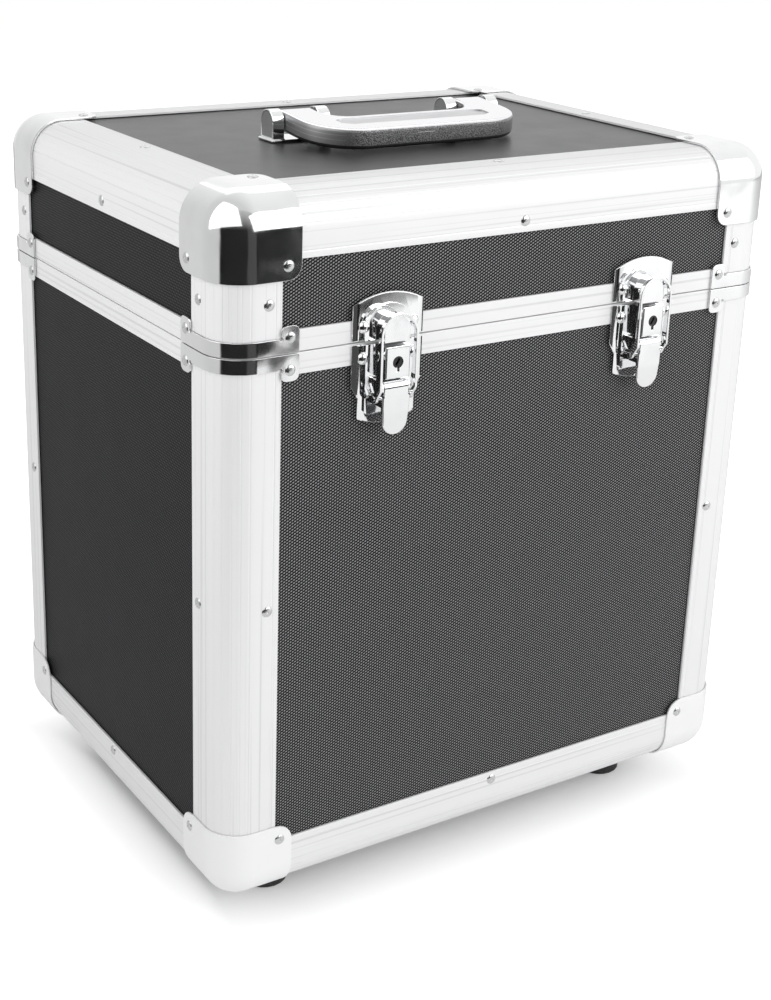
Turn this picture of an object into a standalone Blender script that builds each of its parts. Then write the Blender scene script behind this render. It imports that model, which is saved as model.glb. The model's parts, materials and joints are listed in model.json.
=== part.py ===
"""A 12-inch record carrying case: laminated boards held in grooved aluminium extrusions.

The lid turns on a long pin hinge at the back, two draw latches with key locks hold it at the front,
and a folding handle stands on top. Lengths are in metres, +Z is up and the front faces -Y.
Case coordinates have their origin under the middle of the case, at the feet's lower faces.
"""

import math

import bmesh
import bpy
from mathutils import Vector

# Sizes over the extrusions, without feet, handle, latches and hinge
CASE_WIDTH = 0.350
CASE_DEPTH = 0.271
CASE_HEIGHT = 0.3805
LID_HEIGHT = 0.078
CORNER_RADIUS = 0.0185

# Gaps between pieces that touch, and between the two rims at the seam
SEAT_GAP = 0.0003
SEAM_GAP = 0.0006
CUT_OVERRUN = 0.002
WELD = 0.000001

# Boards and foam
BOARD_THICKNESS = 0.007
FLOOR_PAD_THICKNESS = 0.005
LID_PAD_THICKNESS = 0.006

# Edge extrusions: a rounded L with shallow grooves along it
SKIN_THICKNESS = 0.0015
SKIN_LEG = 0.0322
GROOVE_WIDTH = 0.0009
GROOVE_DEPTH = 0.00035
GROOVE_PITCH = 0.0046
GROOVES_ON_THE_ROUND = 6
EDGE_GROOVE_INSET = 0.0036

# Rims at the seam: tongue on the body, groove in the lid
RIM_HEIGHT = 0.011
RIM_HEIGHT_AT_POSTS = 0.0072
TONGUE_INSET = 0.004
TONGUE_WIDTH = 0.002
TONGUE_HEIGHT = 0.0025
TONGUE_CLEARANCE = 0.0006

# Corners
TOP_CAP_LEG = 0.0418
TOP_CAP_THICKNESS = 0.0012
TOP_CAP_EAR_RADIUS = 0.0075
BOTTOM_CAP_LEG = 0.0416
BOTTOM_CAP_THICKNESS = 0.0010
BOTTOM_CAP_EAR_RADIUS = 0.0095
BRACKET_THICKNESS = 0.0010
BRACKET_BAND = 0.0076
BRACKET_EAR_HEIGHT = 0.0137
BRACKET_EAR_FROM = 0.0310
BRACKET_EAR_TO = 0.0412
BRACKET_EAR_RADIUS = 0.0032
BRACKET_NOTCH_RADIUS = 0.0012

# Feet
FOOT_DROP = 0.0235
FOOT_RADIUS = 0.0135
FOOT_TOP_RADIUS = 0.0141
FOOT_INSET_X = 0.0522
FOOT_INSET_Y = 0.0474
FOOT_EDGE = 0.0012
FOOT_SCREW_RADIUS = 0.0045
FOOT_SCREW_DEPTH = 0.003

# Rear hinge
HINGE_SIDE_CLEARANCE = 0.0138
HINGE_BARREL_RADIUS = 0.0030
HINGE_BORE_RADIUS = 0.0015
HINGE_PIN_RADIUS = 0.0013
HINGE_LEAF_HEIGHT = 0.0145
HINGE_LEAF_THICKNESS = 0.0012
HINGE_KNUCKLES = 8
HINGE_PIN_OVERHANG = 0.0008

# Latches: distance from the case's side, then plates, nose, lock box, lever and hoop
LATCH_INSET = 0.0919
PLATE_HALF_WIDTH = 0.0209
PLATE_THICKNESS = 0.0012
PLATE_SEAM_INSET = 0.0009
PLATE_EDGE = 0.0005
KEEPER_SIDE_HEIGHT = 0.0190
KEEPER_TOP_HEIGHT = 0.0245
DOME_RADIUS = 0.0155
DOME_CENTRE_HEIGHT = 0.0035
DOME_RISE = 0.0011
NOSE_BASE_HALF_WIDTH = 0.0082
NOSE_FACE_HALF_WIDTH = 0.0074
NOSE_HEIGHT = 0.0140
NOSE_PROUD = 0.0098
BASE_FULL_WIDTH_DROP = 0.0220
BASE_NECK_DROP = 0.0285
BASE_LOW_HALF_WIDTH = 0.0170
BASE_SIDE_DROP = 0.0395
BASE_DROP = 0.0435
CHANNEL_HALF_WIDTH = 0.0137
CHANNEL_DROP = 0.0370
LOCK_HALF_WIDTH = 0.0073
LOCK_DROP = 0.0178
LOCK_PROUD = 0.0112
LOCK_EDGE = 0.0009
PLUG_RADIUS = 0.0029
PLUG_BORE_RADIUS = 0.0031
PLUG_DROP = 0.0093
PLUG_SEAT = 0.0030
PLUG_DISH = 0.0004
KEYWAY_HALF_WIDTH = 0.0006
KEYWAY_HALF_HEIGHT = 0.0020
KEYWAY_DEPTH = 0.0025
KEY_SLOT_HALF_WIDTH = 0.0009
KEY_SLOT_DROP = 0.0145
KEY_SLOT_DEPTH = 0.0010
LEVER_AXIS_DROP = 0.0228
LEVER_AXIS_PROUD = 0.0070
LEVER_KNUCKLE_RADIUS = 0.0038
LEVER_HALF_WIDTH = 0.0080
LEVER_KNUCKLE_HALF_WIDTH = 0.0069
LEVER_KNUCKLE_REACH = 0.0042
LEVER_TIP_HALF_WIDTH = 0.0074
LEVER_TIP_DROP = 0.0475
LEVER_SHOULDER_DROP = 0.0325
LEVER_TIP_FLARE = 0.0040
LEVER_TIP_THICKNESS = 0.0017
LEVER_PIN_RADIUS = 0.0012
LEVER_BORE_RADIUS = 0.0014
CHEEK_RADIUS = 0.0036
CHEEK_INNER = 0.0072
CHEEK_OUTER = 0.0086
HOOP_AXIS_BELOW_LEVER = 0.0052
HOOP_PIN_RADIUS = 0.0011
HOOP_BORE_RADIUS = 0.0013
HOOP_INNER_HALF_WIDTH = 0.0096
HOOP_BAND = 0.0015
HOOP_KNUCKLE_RADIUS = 0.0024
HOOP_ARCH_HEIGHT = 0.0158
HOOP_LEG_DEPTH = 0.0042
HOOP_ARCH_DEPTH = 0.0024
HOOP_PIN_OVERHANG = 0.0004

# Handle, its brackets on the top board and the pin between their lugs
HANDLE_AXIS_PROUD = 0.0090
HANDLE_AXIS_Y = 0.0
HANDLE_THICKNESS = 0.0114
HANDLE_REACH = 0.0500
HANDLE_GRIP_WIDTH = 0.0300
HANDLE_CORNER_RADIUS = 0.0280
HANDLE_INNER_RADIUS = 0.0130
HANDLE_EDGE = 0.0022
HANDLE_REST_GAP = 0.0005
HANDLE_INLAY_HALF_LENGTH = 0.0500
HANDLE_INLAY_HALF_WIDTH = 0.0068
HANDLE_INLAY_OFFSET = 0.0045
HANDLE_INLAY_DEPTH = 0.0007
HANDLE_BORE_RADIUS = 0.0027
HANDLE_PIN_RADIUS = 0.0025
LUG_INNER_AT = 0.0430
LUG_OUTER_AT = 0.0725
LUG_THICKNESS = 0.0075
LUG_RADIUS = 0.0067
LUG_EDGE = 0.0009
LUG_PLATE_THICKNESS = 0.0012
LUG_PLATE_OVERHANG = 0.0012
LUG_PLATE_HALF_DEPTH = 0.0085
LUG_PLATE_RADIUS = 0.0015

# Steps of round shapes, for a quarter turn unless said otherwise
EDGE_STEPS = 5
CAP_STEPS = 3
EAR_STEPS = 3
ARC_STEPS = 5
FULL_TURN_STEPS = 20
SMALL_TURN_STEPS = 12
SMOOTH_ANGLE = math.radians(35)

# Places that follow from the sizes
BOARD_INSET = SKIN_THICKNESS + SEAT_GAP
LINING_INSET = BOARD_INSET + BOARD_THICKNESS
RIM_INNER_INSET = LINING_INSET + SEAT_GAP
RIM_DEPTH = RIM_INNER_INSET + SKIN_THICKNESS
BASE_Z = FOOT_DROP
TOP_Z = FOOT_DROP + CASE_HEIGHT
SEAM_Z = TOP_Z - LID_HEIGHT
BODY_RIM_Z = SEAM_Z - SEAM_GAP / 2
LID_RIM_Z = SEAM_Z + SEAM_GAP / 2
HALF_WIDTH = CASE_WIDTH / 2
HALF_DEPTH = CASE_DEPTH / 2
HINGE_LENGTH = CASE_WIDTH - 2 * (BRACKET_EAR_TO + HINGE_SIDE_CLEARANCE)
HINGE_REACH = SEAT_GAP + 2 * HINGE_BARREL_RADIUS
HINGE_AXIS_Y = HALF_DEPTH + SEAT_GAP + HINGE_BARREL_RADIUS
HOOP_ARCH_BACK = NOSE_PROUD + SEAT_GAP
HOOP_PROUD = HOOP_ARCH_BACK + HOOP_ARCH_DEPTH
HOOP_OUTER_HALF_WIDTH = HOOP_INNER_HALF_WIDTH + HOOP_BAND
CENTRING_Y = (HOOP_PROUD - HINGE_REACH) / 2
HANDLE_AXIS_Z = TOP_Z + HANDLE_AXIS_PROUD
ARM_INNER = LUG_INNER_AT + LUG_THICKNESS / 2 + SEAT_GAP
ARM_OUTER = LUG_OUTER_AT - LUG_THICKNESS / 2 - SEAT_GAP
CORNERS = {
    "front_left": (-1, -1),
    "front_right": (1, -1),
    "back_left": (-1, 1),
    "back_right": (1, 1),
}


def material(name, colour, roughness, metallic):
    """One plain finish, as a Principled shader."""
    made = bpy.data.materials.new(name)
    made.use_nodes = True
    made.diffuse_color = (*colour, 1)
    shader = made.node_tree.nodes["Principled BSDF"]
    shader.inputs["Base Color"].default_value = (*colour, 1)
    shader.inputs["Roughness"].default_value = roughness
    shader.inputs["Metallic"].default_value = metallic
    return made


def finishes():
    """The finishes of the case, by name."""
    return {
        "aluminium": material("satin_aluminium", (0.82, 0.82, 0.83), 0.38, 1),
        "chrome": material("bright_chrome", (0.85, 0.86, 0.87), 0.08, 1),
        "satin": material("satin_corner", (0.84, 0.84, 0.85), 0.30, 1),
        "laminate": material("dark_laminate", (0.045, 0.045, 0.048), 0.50, 0),
        "rubber": material("black_rubber", (0.02, 0.02, 0.02), 0.75, 0),
        "foam": material("black_foam", (0.03, 0.03, 0.032), 0.95, 0),
        "cast": material("cast_handle", (0.55, 0.55, 0.56), 0.30, 1),
        "steel": material("hinge_steel", (0.60, 0.60, 0.62), 0.30, 1),
    }


def empty(name, place):
    """A guide at a pivot, which carries the pieces that turn with it."""
    guide = bpy.data.objects.new(name, None)
    guide.location = Vector(place) + Vector((0, CENTRING_Y, 0))
    bpy.context.scene.collection.objects.link(guide)
    return guide


def finish(bm, name, look, pivot=(0, 0, 0), carrier=None, closed=True):
    """Makes an object of a bmesh given in case coordinates, with its origin at the pivot."""
    bmesh.ops.remove_doubles(bm, verts=bm.verts, dist=WELD)
    if closed:
        bmesh.ops.recalc_face_normals(bm, faces=bm.faces)
    bmesh.ops.translate(bm, verts=bm.verts, vec=-Vector(pivot))
    mesh = bpy.data.meshes.new(name)
    bm.to_mesh(mesh)
    bm.free()
    mesh.materials.append(look)
    mesh.shade_smooth()
    mesh.set_sharp_from_angle(angle=SMOOTH_ANGLE)
    obj = bpy.data.objects.new(name, mesh)
    bpy.context.scene.collection.objects.link(obj)
    obj.location = Vector(pivot) + Vector((0, CENTRING_Y, 0))
    if carrier:
        obj.parent = carrier
        obj.location -= carrier.location
    return obj


def combine(target, bm, operation, pivot=(0, 0, 0)):
    """Joins to, cuts from or crosses an object with a second shape, in case coordinates."""
    tool = finish(bm, target.name + "_tool", target.data.materials[0], pivot)
    tool.hide_render = True
    tool.display_type = "WIRE"
    change = target.modifiers.new(operation.lower(), "BOOLEAN")
    change.operation = operation
    change.solver = "EXACT"
    change.object = tool


def round_edges(obj, width, segments=2):
    """Rounds the sharp edges of an object."""
    rounding = obj.modifiers.new("rounding", "BEVEL")
    rounding.width = width
    rounding.segments = segments
    rounding.limit_method = "ANGLE"
    rounding.angle_limit = SMOOTH_ANGLE
    rounding.harden_normals = False


def arc(centre, radius, start, end, steps):
    """Points on an arc, both ends included, angles in degrees."""
    points = []
    for step in range(steps + 1):
        angle = math.radians(start + (end - start) * step / steps)
        points.append((centre[0] + radius * math.cos(angle), centre[1] + radius * math.sin(angle)))
    return points


def circle(centre, radius, steps):
    """Points round a full circle, each one once."""
    return arc(centre, radius, 0, 360, steps)[:-1]


def prism(bm, outline, place, start, end):
    """Extrudes an outline from start to end; place turns (p, q, t) into case coordinates."""
    face = bm.faces.new([bm.verts.new(place(p, q, start)) for p, q in outline])
    grown = bmesh.ops.extrude_face_region(bm, geom=[face])["geom"]
    moved = [item for item in grown if isinstance(item, bmesh.types.BMVert)]
    bmesh.ops.translate(bm, verts=moved, vec=place(0, 0, end) - place(0, 0, start))


def solid_prism(outline, place, start, end):
    """A new bmesh that holds one prism."""
    bm = bmesh.new()
    prism(bm, outline, place, start, end)
    return bm


def along_x(p, q, t):
    """An outline in Y and Z, extruded along X."""
    return Vector((t, p, q))


def rounded_loop(bm, inset, height):
    """Vertices round the case in plan, at an inset from its outer planes, with the corners concentric."""
    radius = max(CORNER_RADIUS - inset, 0)
    centre_x = HALF_WIDTH - inset - radius
    centre_y = HALF_DEPTH - inset - radius
    points = []
    for quarter, (side_x, side_y) in enumerate(((1, 1), (-1, 1), (-1, -1), (1, -1))):
        centre = (side_x * centre_x, side_y * centre_y)
        points += arc(centre, radius, 90 * quarter, 90 * quarter + 90, EDGE_STEPS)
    return [bm.verts.new((x, y, height)) for x, y in points]


def bridge(bm, lower, upper):
    """Quads between two loops of the same length."""
    for index, vert in enumerate(lower):
        after = (index + 1) % len(lower)
        bm.faces.new((vert, lower[after], upper[after], upper[index]))


def ring(section):
    """A closed ring round the case from a section of (inset, height) points."""
    bm = bmesh.new()
    loops = [rounded_loop(bm, inset, height) for inset, height in section]
    for index, loop in enumerate(loops):
        bridge(bm, loop, loops[(index + 1) % len(loops)])
    return bm


def board(levels):
    """A flat board as wide as the case, from (inset, height) levels of its edge."""
    bm = bmesh.new()
    loops = [rounded_loop(bm, inset, height) for inset, height in levels]
    for lower, upper in zip(loops, loops[1:]):
        bridge(bm, lower, upper)
    bmesh.ops.remove_doubles(bm, verts=bm.verts, dist=WELD)
    bmesh.ops.holes_fill(bm, edges=[edge for edge in bm.edges if edge.is_boundary])
    return bm


def from_base(height):
    """Height above the lower outer plane, in case coordinates."""
    return BASE_Z + height


def from_top(depth):
    """Depth below the upper outer plane, in case coordinates."""
    return TOP_Z - depth


def corner_place(side_x, side_y, level):
    """Turns distances from a corner's three outer planes into case coordinates."""
    return lambda a, b, c: Vector((side_x * (HALF_WIDTH - a), side_y * (HALF_DEPTH - b), level(c)))


def wall_section(level, rim_z, toward_rim):
    """Section of a glued ring of boards, slanted at the rounded edge and square at the rim."""
    edge = CORNER_RADIUS + SEAT_GAP
    tip = LINING_INSET + 2 * SEAT_GAP
    rim = rim_z - toward_rim * (SKIN_THICKNESS + SEAT_GAP)
    return [
        (BOARD_INSET, level(edge)),
        (BOARD_INSET, rim),
        (LINING_INSET, rim),
        (LINING_INSET, level(tip)),
        (LINING_INSET - SEAT_GAP, level(tip)),
    ]


def end_board_levels(level):
    """Levels of the floor or top board, whose slanted edge meets the walls' slant."""
    return [
        (CORNER_RADIUS + SEAT_GAP, level(BOARD_INSET)),
        (LINING_INSET + SEAT_GAP, level(LINING_INSET - SEAT_GAP)),
        (LINING_INSET + SEAT_GAP, level(LINING_INSET)),
    ]


def pad_levels(level, thickness):
    """Levels of a foam pad that lies on the floor or top board."""
    edge = LINING_INSET + 2 * SEAT_GAP
    return [
        (edge, level(LINING_INSET + SEAT_GAP)),
        (edge, level(LINING_INSET + SEAT_GAP + thickness)),
    ]


def boards(looks, lid):
    """Walls, floor and top boards, and the foam on them."""
    groove_roof = TONGUE_HEIGHT + TONGUE_CLEARANCE
    body = ring(wall_section(from_base, BODY_RIM_Z, 1))
    finish(body, "body_walls", looks["laminate"])
    cover = ring(wall_section(from_top, LID_RIM_Z + groove_roof, -1))
    finish(cover, "lid_walls", looks["laminate"], carrier=lid)
    finish(board(end_board_levels(from_base)), "bottom_board", looks["laminate"])
    finish(board(end_board_levels(from_top)), "top_board", looks["laminate"], carrier=lid)
    finish(board(pad_levels(from_base, FLOOR_PAD_THICKNESS)), "floor_pad", looks["foam"])
    lining = board(pad_levels(from_top, LID_PAD_THICKNESS))
    finish(lining, "lid_pad", looks["foam"], carrier=lid)


def skin_point(run, depth):
    """A point of the extrusion's section: run goes along its outer face, depth goes into the wall."""
    flat = SKIN_LEG - CORNER_RADIUS
    turn = CORNER_RADIUS * math.pi / 2
    if run <= flat:
        return (SKIN_LEG - run, depth)
    if run >= flat + turn:
        return (depth, CORNER_RADIUS + run - flat - turn)
    angle = (run - flat) / CORNER_RADIUS
    reach = CORNER_RADIUS - depth
    return (CORNER_RADIUS - reach * math.sin(angle), CORNER_RADIUS - reach * math.cos(angle))


def skin_section():
    """Closed outline of the rounded L with its grooves, as distances from two outer planes."""
    flat = SKIN_LEG - CORNER_RADIUS
    turn = CORNER_RADIUS * math.pi / 2
    total = 2 * flat + turn
    middle = total / 2
    span = GROOVE_PITCH * (GROOVES_ON_THE_ROUND - 1)
    grooves = [middle - span / 2 + GROOVE_PITCH * index for index in range(GROOVES_ON_THE_ROUND)]
    grooves = [EDGE_GROOVE_INSET] + grooves + [total - EDGE_GROOVE_INSET]
    outer = [(0, 0), (flat, 0), (flat + turn, 0), (total, 0)]
    for run in grooves:
        outer += [(run - GROOVE_WIDTH / 2, 0), (run, GROOVE_DEPTH), (run + GROOVE_WIDTH / 2, 0)]
    inner = [(0, SKIN_THICKNESS), (total, SKIN_THICKNESS)]
    for step in range(EDGE_STEPS + 1):
        inner.append((flat + turn * step / EDGE_STEPS, SKIN_THICKNESS))
    outer.sort()
    inner.sort(reverse=True)
    return [skin_point(run, depth) for run, depth in outer + inner]


def extrusions(looks, lid):
    """Corner posts of body and lid, and the four edge rails at the top and at the base."""
    section = skin_section()
    end = SKIN_LEG + SEAT_GAP
    look = looks["aluminium"]
    for corner, (side_x, side_y) in CORNERS.items():

        def upright(a, b, t, side_x=side_x, side_y=side_y):
            return Vector((side_x * (HALF_WIDTH - a), side_y * (HALF_DEPTH - b), t))

        low_end = BODY_RIM_Z - RIM_HEIGHT_AT_POSTS - SEAT_GAP
        high_start = LID_RIM_Z + RIM_HEIGHT_AT_POSTS + SEAT_GAP
        post = solid_prism(section, upright, from_base(end), low_end)
        finish(post, "body_post_" + corner, look)
        post = solid_prism(section, upright, high_start, from_top(end))
        finish(post, "lid_post_" + corner, look, carrier=lid)
    for group, level, carrier in (("bottom", from_base, None), ("top", from_top, lid)):
        for side, sign in (("front", -1), ("back", 1)):

            def across(p, q, t, sign=sign, level=level):
                return Vector((t, sign * (HALF_DEPTH - p), level(q)))

            rail = solid_prism(section, across, end - HALF_WIDTH, HALF_WIDTH - end)
            finish(rail, f"{group}_rail_{side}", look, carrier=carrier)
        for side, sign in (("left", -1), ("right", 1)):

            def sideways(p, q, t, sign=sign, level=level):
                return Vector((sign * (HALF_WIDTH - p), t, level(q)))

            rail = solid_prism(section, sideways, end - HALF_DEPTH, HALF_DEPTH - end)
            finish(rail, f"{group}_rail_{side}", look, carrier=carrier)


def rim_notches(bm, height, away):
    """Four blocks that shorten the rim's flanges where the posts stand."""
    reach = SKIN_LEG + SEAT_GAP
    for side_x, side_y in CORNERS.values():
        low = Vector((HALF_WIDTH - reach, HALF_DEPTH - reach, height))
        high = Vector((HALF_WIDTH + CUT_OVERRUN, HALF_DEPTH + CUT_OVERRUN, away))
        made = bmesh.ops.create_cube(bm, size=1)["verts"]
        bmesh.ops.scale(bm, verts=made, vec=high - low)
        bmesh.ops.translate(bm, verts=made, vec=(low + high) / 2)
        bmesh.ops.scale(bm, verts=made, vec=(side_x, side_y, 1))


def rims(looks, lid):
    """The two rim extrusions: a channel over the walls' edges, with a tongue or a groove."""
    skin = SKIN_THICKNESS
    outer_tongue = TONGUE_INSET
    inner_tongue = TONGUE_INSET + TONGUE_WIDTH
    tongue_top = BODY_RIM_Z + TONGUE_HEIGHT
    flange = BODY_RIM_Z - RIM_HEIGHT
    section = [
        (0, flange),
        (0, BODY_RIM_Z),
        (outer_tongue, BODY_RIM_Z),
        (outer_tongue, tongue_top),
        (inner_tongue, tongue_top),
        (inner_tongue, BODY_RIM_Z),
        (RIM_DEPTH, BODY_RIM_Z),
        (RIM_DEPTH, flange),
        (RIM_INNER_INSET, flange),
        (RIM_INNER_INSET, BODY_RIM_Z - skin),
        (skin, BODY_RIM_Z - skin),
        (skin, flange),
    ]
    rim = finish(ring(section), "body_rim", looks["aluminium"])
    notches = bmesh.new()
    rim_notches(notches, BODY_RIM_Z - RIM_HEIGHT_AT_POSTS, flange - CUT_OVERRUN)
    combine(rim, notches, "DIFFERENCE")
    groove_top = LID_RIM_Z + TONGUE_HEIGHT + TONGUE_CLEARANCE
    roof = groove_top + skin
    flange = LID_RIM_Z + RIM_HEIGHT
    section = [
        (0, flange),
        (0, LID_RIM_Z),
        (outer_tongue - TONGUE_CLEARANCE, LID_RIM_Z),
        (outer_tongue - TONGUE_CLEARANCE, groove_top),
        (inner_tongue + TONGUE_CLEARANCE, groove_top),
        (inner_tongue + TONGUE_CLEARANCE, LID_RIM_Z),
        (RIM_DEPTH, LID_RIM_Z),
        (RIM_DEPTH, flange),
        (RIM_INNER_INSET, flange),
        (RIM_INNER_INSET, roof),
        (skin, roof),
        (skin, flange),
    ]
    rim = finish(ring(section), "lid_rim", looks["aluminium"], carrier=lid)
    notches = bmesh.new()
    rim_notches(notches, LID_RIM_Z + RIM_HEIGHT_AT_POSTS, flange + CUT_OVERRUN)
    combine(rim, notches, "DIFFERENCE")


def point_away(bm, centre):
    """Turns an open sheet's faces so that they look away from a point."""
    bmesh.ops.recalc_face_normals(bm, faces=bm.faces)
    facing = sum(face.normal.dot(face.calc_center_median() - centre) for face in bm.faces)
    if facing < 0:
        bmesh.ops.reverse_faces(bm, faces=bm.faces)


def thicken(obj, thickness):
    """Gives an open sheet a wall on its outer side."""
    wall = obj.modifiers.new("wall", "SOLIDIFY")
    wall.thickness = thickness
    wall.offset = 1
    wall.use_even_offset = True


def corner_sheet(leg, ear_radius):
    """Three rounded squares that meet in a ball corner, as distances from the outer planes."""
    levels = []
    for step in range(CAP_STEPS + 1):
        angle = math.radians(45) * (1 - step / CAP_STEPS)
        levels.append(CORNER_RADIUS * (1 - math.tan(angle)))
    levels.append(leg)
    cells = len(levels) - 1
    bm = bmesh.new()
    for normal in range(3):
        made = bmesh.ops.create_grid(bm, x_segments=cells, y_segments=cells, size=1)["verts"]
        for vert in made:
            u, v = (levels[round((value + 1) / 2 * cells)] for value in vert.co.xy)
            vert.co = (u, v, 0)
        outer = max(made, key=lambda vert: vert.co.x + vert.co.y)
        for vert in made:
            u, v = vert.co.xy
            vert.co = ((u, v, 0), (u, 0, v), (0, u, v))[normal]
        bmesh.ops.bevel(
            bm, geom=[outer], offset=ear_radius, offset_type="OFFSET", affect="VERTICES",
            segments=EAR_STEPS, profile=0.5, material=-1,
        )
    bmesh.ops.remove_doubles(bm, verts=bm.verts, dist=WELD)
    for vert in bm.verts:
        centre = Vector([max(value, CORNER_RADIUS) for value in vert.co])
        outward = (vert.co - centre).normalized()
        vert.co = centre + outward * (CORNER_RADIUS + SEAT_GAP)
    return bm


def caps(looks, lid):
    """Chromed ball corners on the lid and satin ones at the base."""
    middle = Vector((0, 0, TOP_Z / 2))
    for corner, (side_x, side_y) in CORNERS.items():
        for group, level in (("top", from_top), ("bottom", from_base)):
            upper = group == "top"
            leg = TOP_CAP_LEG if upper else BOTTOM_CAP_LEG
            sheet = corner_sheet(leg, TOP_CAP_EAR_RADIUS if upper else BOTTOM_CAP_EAR_RADIUS)
            place = corner_place(side_x, side_y, level)
            for vert in sheet.verts:
                vert.co = place(*vert.co)
            point_away(sheet, middle)
            look = looks["chrome"] if upper else looks["satin"]
            name = f"{group}_cap_{corner}"
            cap = finish(sheet, name, look, carrier=lid if upper else None, closed=False)
            thicken(cap, TOP_CAP_THICKNESS if upper else BOTTOM_CAP_THICKNESS)


def bracket_sheet():
    """A seam bracket unrolled from ear to ear round a corner, at heights from the seam."""
    gap = -SEAT_GAP
    path = [(BRACKET_EAR_TO, gap), (BRACKET_EAR_FROM, gap)]
    centre = (CORNER_RADIUS, CORNER_RADIUS)
    path += arc(centre, CORNER_RADIUS + SEAT_GAP, 270, 180, EDGE_STEPS)
    path += [(gap, BRACKET_EAR_FROM), (gap, BRACKET_EAR_TO)]
    bm = bmesh.new()
    rows = [[bm.verts.new((a, b, height)) for a, b in path] for height in (0, BRACKET_BAND)]
    for index in range(len(path) - 1):
        bm.faces.new((rows[0][index], rows[0][index + 1], rows[1][index + 1], rows[1][index]))
    for first, second in ((0, 1), (-2, -1)):
        edge = bm.edges.get((rows[1][first], rows[1][second]))
        grown = bmesh.ops.extrude_edge_only(bm, edges=[edge])["geom"]
        top = [item for item in grown if isinstance(item, bmesh.types.BMVert)]
        bmesh.ops.translate(bm, verts=top, vec=(0, 0, BRACKET_EAR_HEIGHT - BRACKET_BAND))
        bmesh.ops.bevel(
            bm, geom=top, offset=BRACKET_EAR_RADIUS, offset_type="OFFSET", affect="VERTICES",
            segments=EAR_STEPS, profile=0.5, material=-1,
        )
    return bm


def notch_cutters(place):
    """Two short rods that cut the relief notches where a bracket's band meets its ears."""
    bm = bmesh.new()
    outline = circle((BRACKET_EAR_FROM, BRACKET_BAND), BRACKET_NOTCH_RADIUS, SMALL_TURN_STEPS // 2)
    depth = BRACKET_THICKNESS + CUT_OVERRUN
    prism(bm, outline, lambda p, q, t: place(p, t, q), -depth, depth)
    prism(bm, outline, lambda p, q, t: place(t, p, q), -depth, depth)
    return bm


def seam_brackets(looks, lid):
    """A chromed band above and one below the seam at each corner."""
    for corner, (side_x, side_y) in CORNERS.items():
        for group, rim_z, up in (("lower", BODY_RIM_Z, -1), ("upper", LID_RIM_Z, 1)):
            place = corner_place(side_x, side_y, lambda c, rim_z=rim_z, up=up: rim_z + up * c)
            sheet = bracket_sheet()
            for vert in sheet.verts:
                vert.co = place(*vert.co)
            point_away(sheet, Vector((0, 0, SEAM_Z)))
            carrier = lid if group == "upper" else None
            name = f"{group}_bracket_{corner}"
            bracket = finish(sheet, name, looks["chrome"], carrier=carrier, closed=False)
            thicken(bracket, BRACKET_THICKNESS)
            combine(bracket, notch_cutters(place), "DIFFERENCE")


def feet(looks):
    """Four turned rubber feet with a screw recess, under the floor board."""
    height = FOOT_DROP + BOARD_INSET - SEAT_GAP
    for corner, (side_x, side_y) in CORNERS.items():
        spot_x = side_x * (HALF_WIDTH - FOOT_INSET_X)
        spot_y = side_y * (HALF_DEPTH - FOOT_INSET_Y)
        bm = bmesh.new()
        profile = [
            (0, FOOT_SCREW_DEPTH),
            (FOOT_SCREW_RADIUS, FOOT_SCREW_DEPTH),
            (FOOT_SCREW_RADIUS, 0),
            (FOOT_RADIUS - FOOT_EDGE, 0),
            (FOOT_RADIUS, FOOT_EDGE),
            (FOOT_TOP_RADIUS, height),
            (0, height),
        ]
        verts = [bm.verts.new((x, 0, z)) for x, z in profile]
        edges = [bm.edges.new(pair) for pair in zip(verts, verts[1:])]
        bmesh.ops.spin(
            bm, geom=verts + edges, cent=(0, 0, 0), axis=(0, 0, 1), angle=math.tau,
            steps=FULL_TURN_STEPS, use_merge=True,
        )
        bmesh.ops.translate(bm, verts=bm.verts, vec=(spot_x, spot_y, 0))
        finish(bm, "foot_" + corner, looks["rubber"])


def leaf_section(up):
    """Section of a hinge leaf with its barrel, in Y and Z from the pin; up is 1 for the lid's leaf."""
    radius = HINGE_BARREL_RADIUS
    inner = -radius + HINGE_LEAF_THICKNESS
    meet = math.degrees(math.acos(inner / radius))
    outline = [(-radius, 0), (-radius, -HINGE_LEAF_HEIGHT), (inner, -HINGE_LEAF_HEIGHT)]
    outline += arc((0, 0), radius, -meet, 180, SMALL_TURN_STEPS)[:-1]
    return [(y, -up * z) for y, z in outline]


def hinge(looks, lid):
    """Body leaf, lid leaf and pin of the long rear hinge."""
    pitch = HINGE_LENGTH / HINGE_KNUCKLES
    start = -HINGE_LENGTH / 2
    clear = HINGE_BARREL_RADIUS + SEAT_GAP

    def place(p, q, t):
        return Vector((t, HINGE_AXIS_Y + p, SEAM_Z + q))

    for name, up, first, carrier in (("body_leaf", -1, 0, None), ("lid_leaf", 1, 1, lid)):
        section = leaf_section(up)
        leaf = solid_prism(section, place, start + SEAT_GAP, -start - SEAT_GAP)
        leaf = finish(leaf, "hinge_" + name, looks["steel"], carrier=carrier)
        bore = circle((0, 0), HINGE_BORE_RADIUS, SMALL_TURN_STEPS)
        tool = solid_prism(bore, place, start - CUT_OVERRUN, CUT_OVERRUN - start)
        combine(leaf, tool, "DIFFERENCE")
        gaps = bmesh.new()
        reach = clear + CUT_OVERRUN
        low, high = -up * reach, up * clear
        window = [(-reach, low), (reach, low), (reach, high), (-reach, high)]
        for index in range(1 - first, HINGE_KNUCKLES, 2):
            left = start + pitch * index
            prism(gaps, window, place, left - SEAT_GAP, left + pitch + SEAT_GAP)
        combine(leaf, gaps, "DIFFERENCE")
    rod = circle((0, 0), HINGE_PIN_RADIUS, SMALL_TURN_STEPS)
    end = HINGE_LENGTH / 2 + HINGE_PIN_OVERHANG
    finish(solid_prism(rod, place, -end, end), "hinge_pin", looks["steel"])


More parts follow.
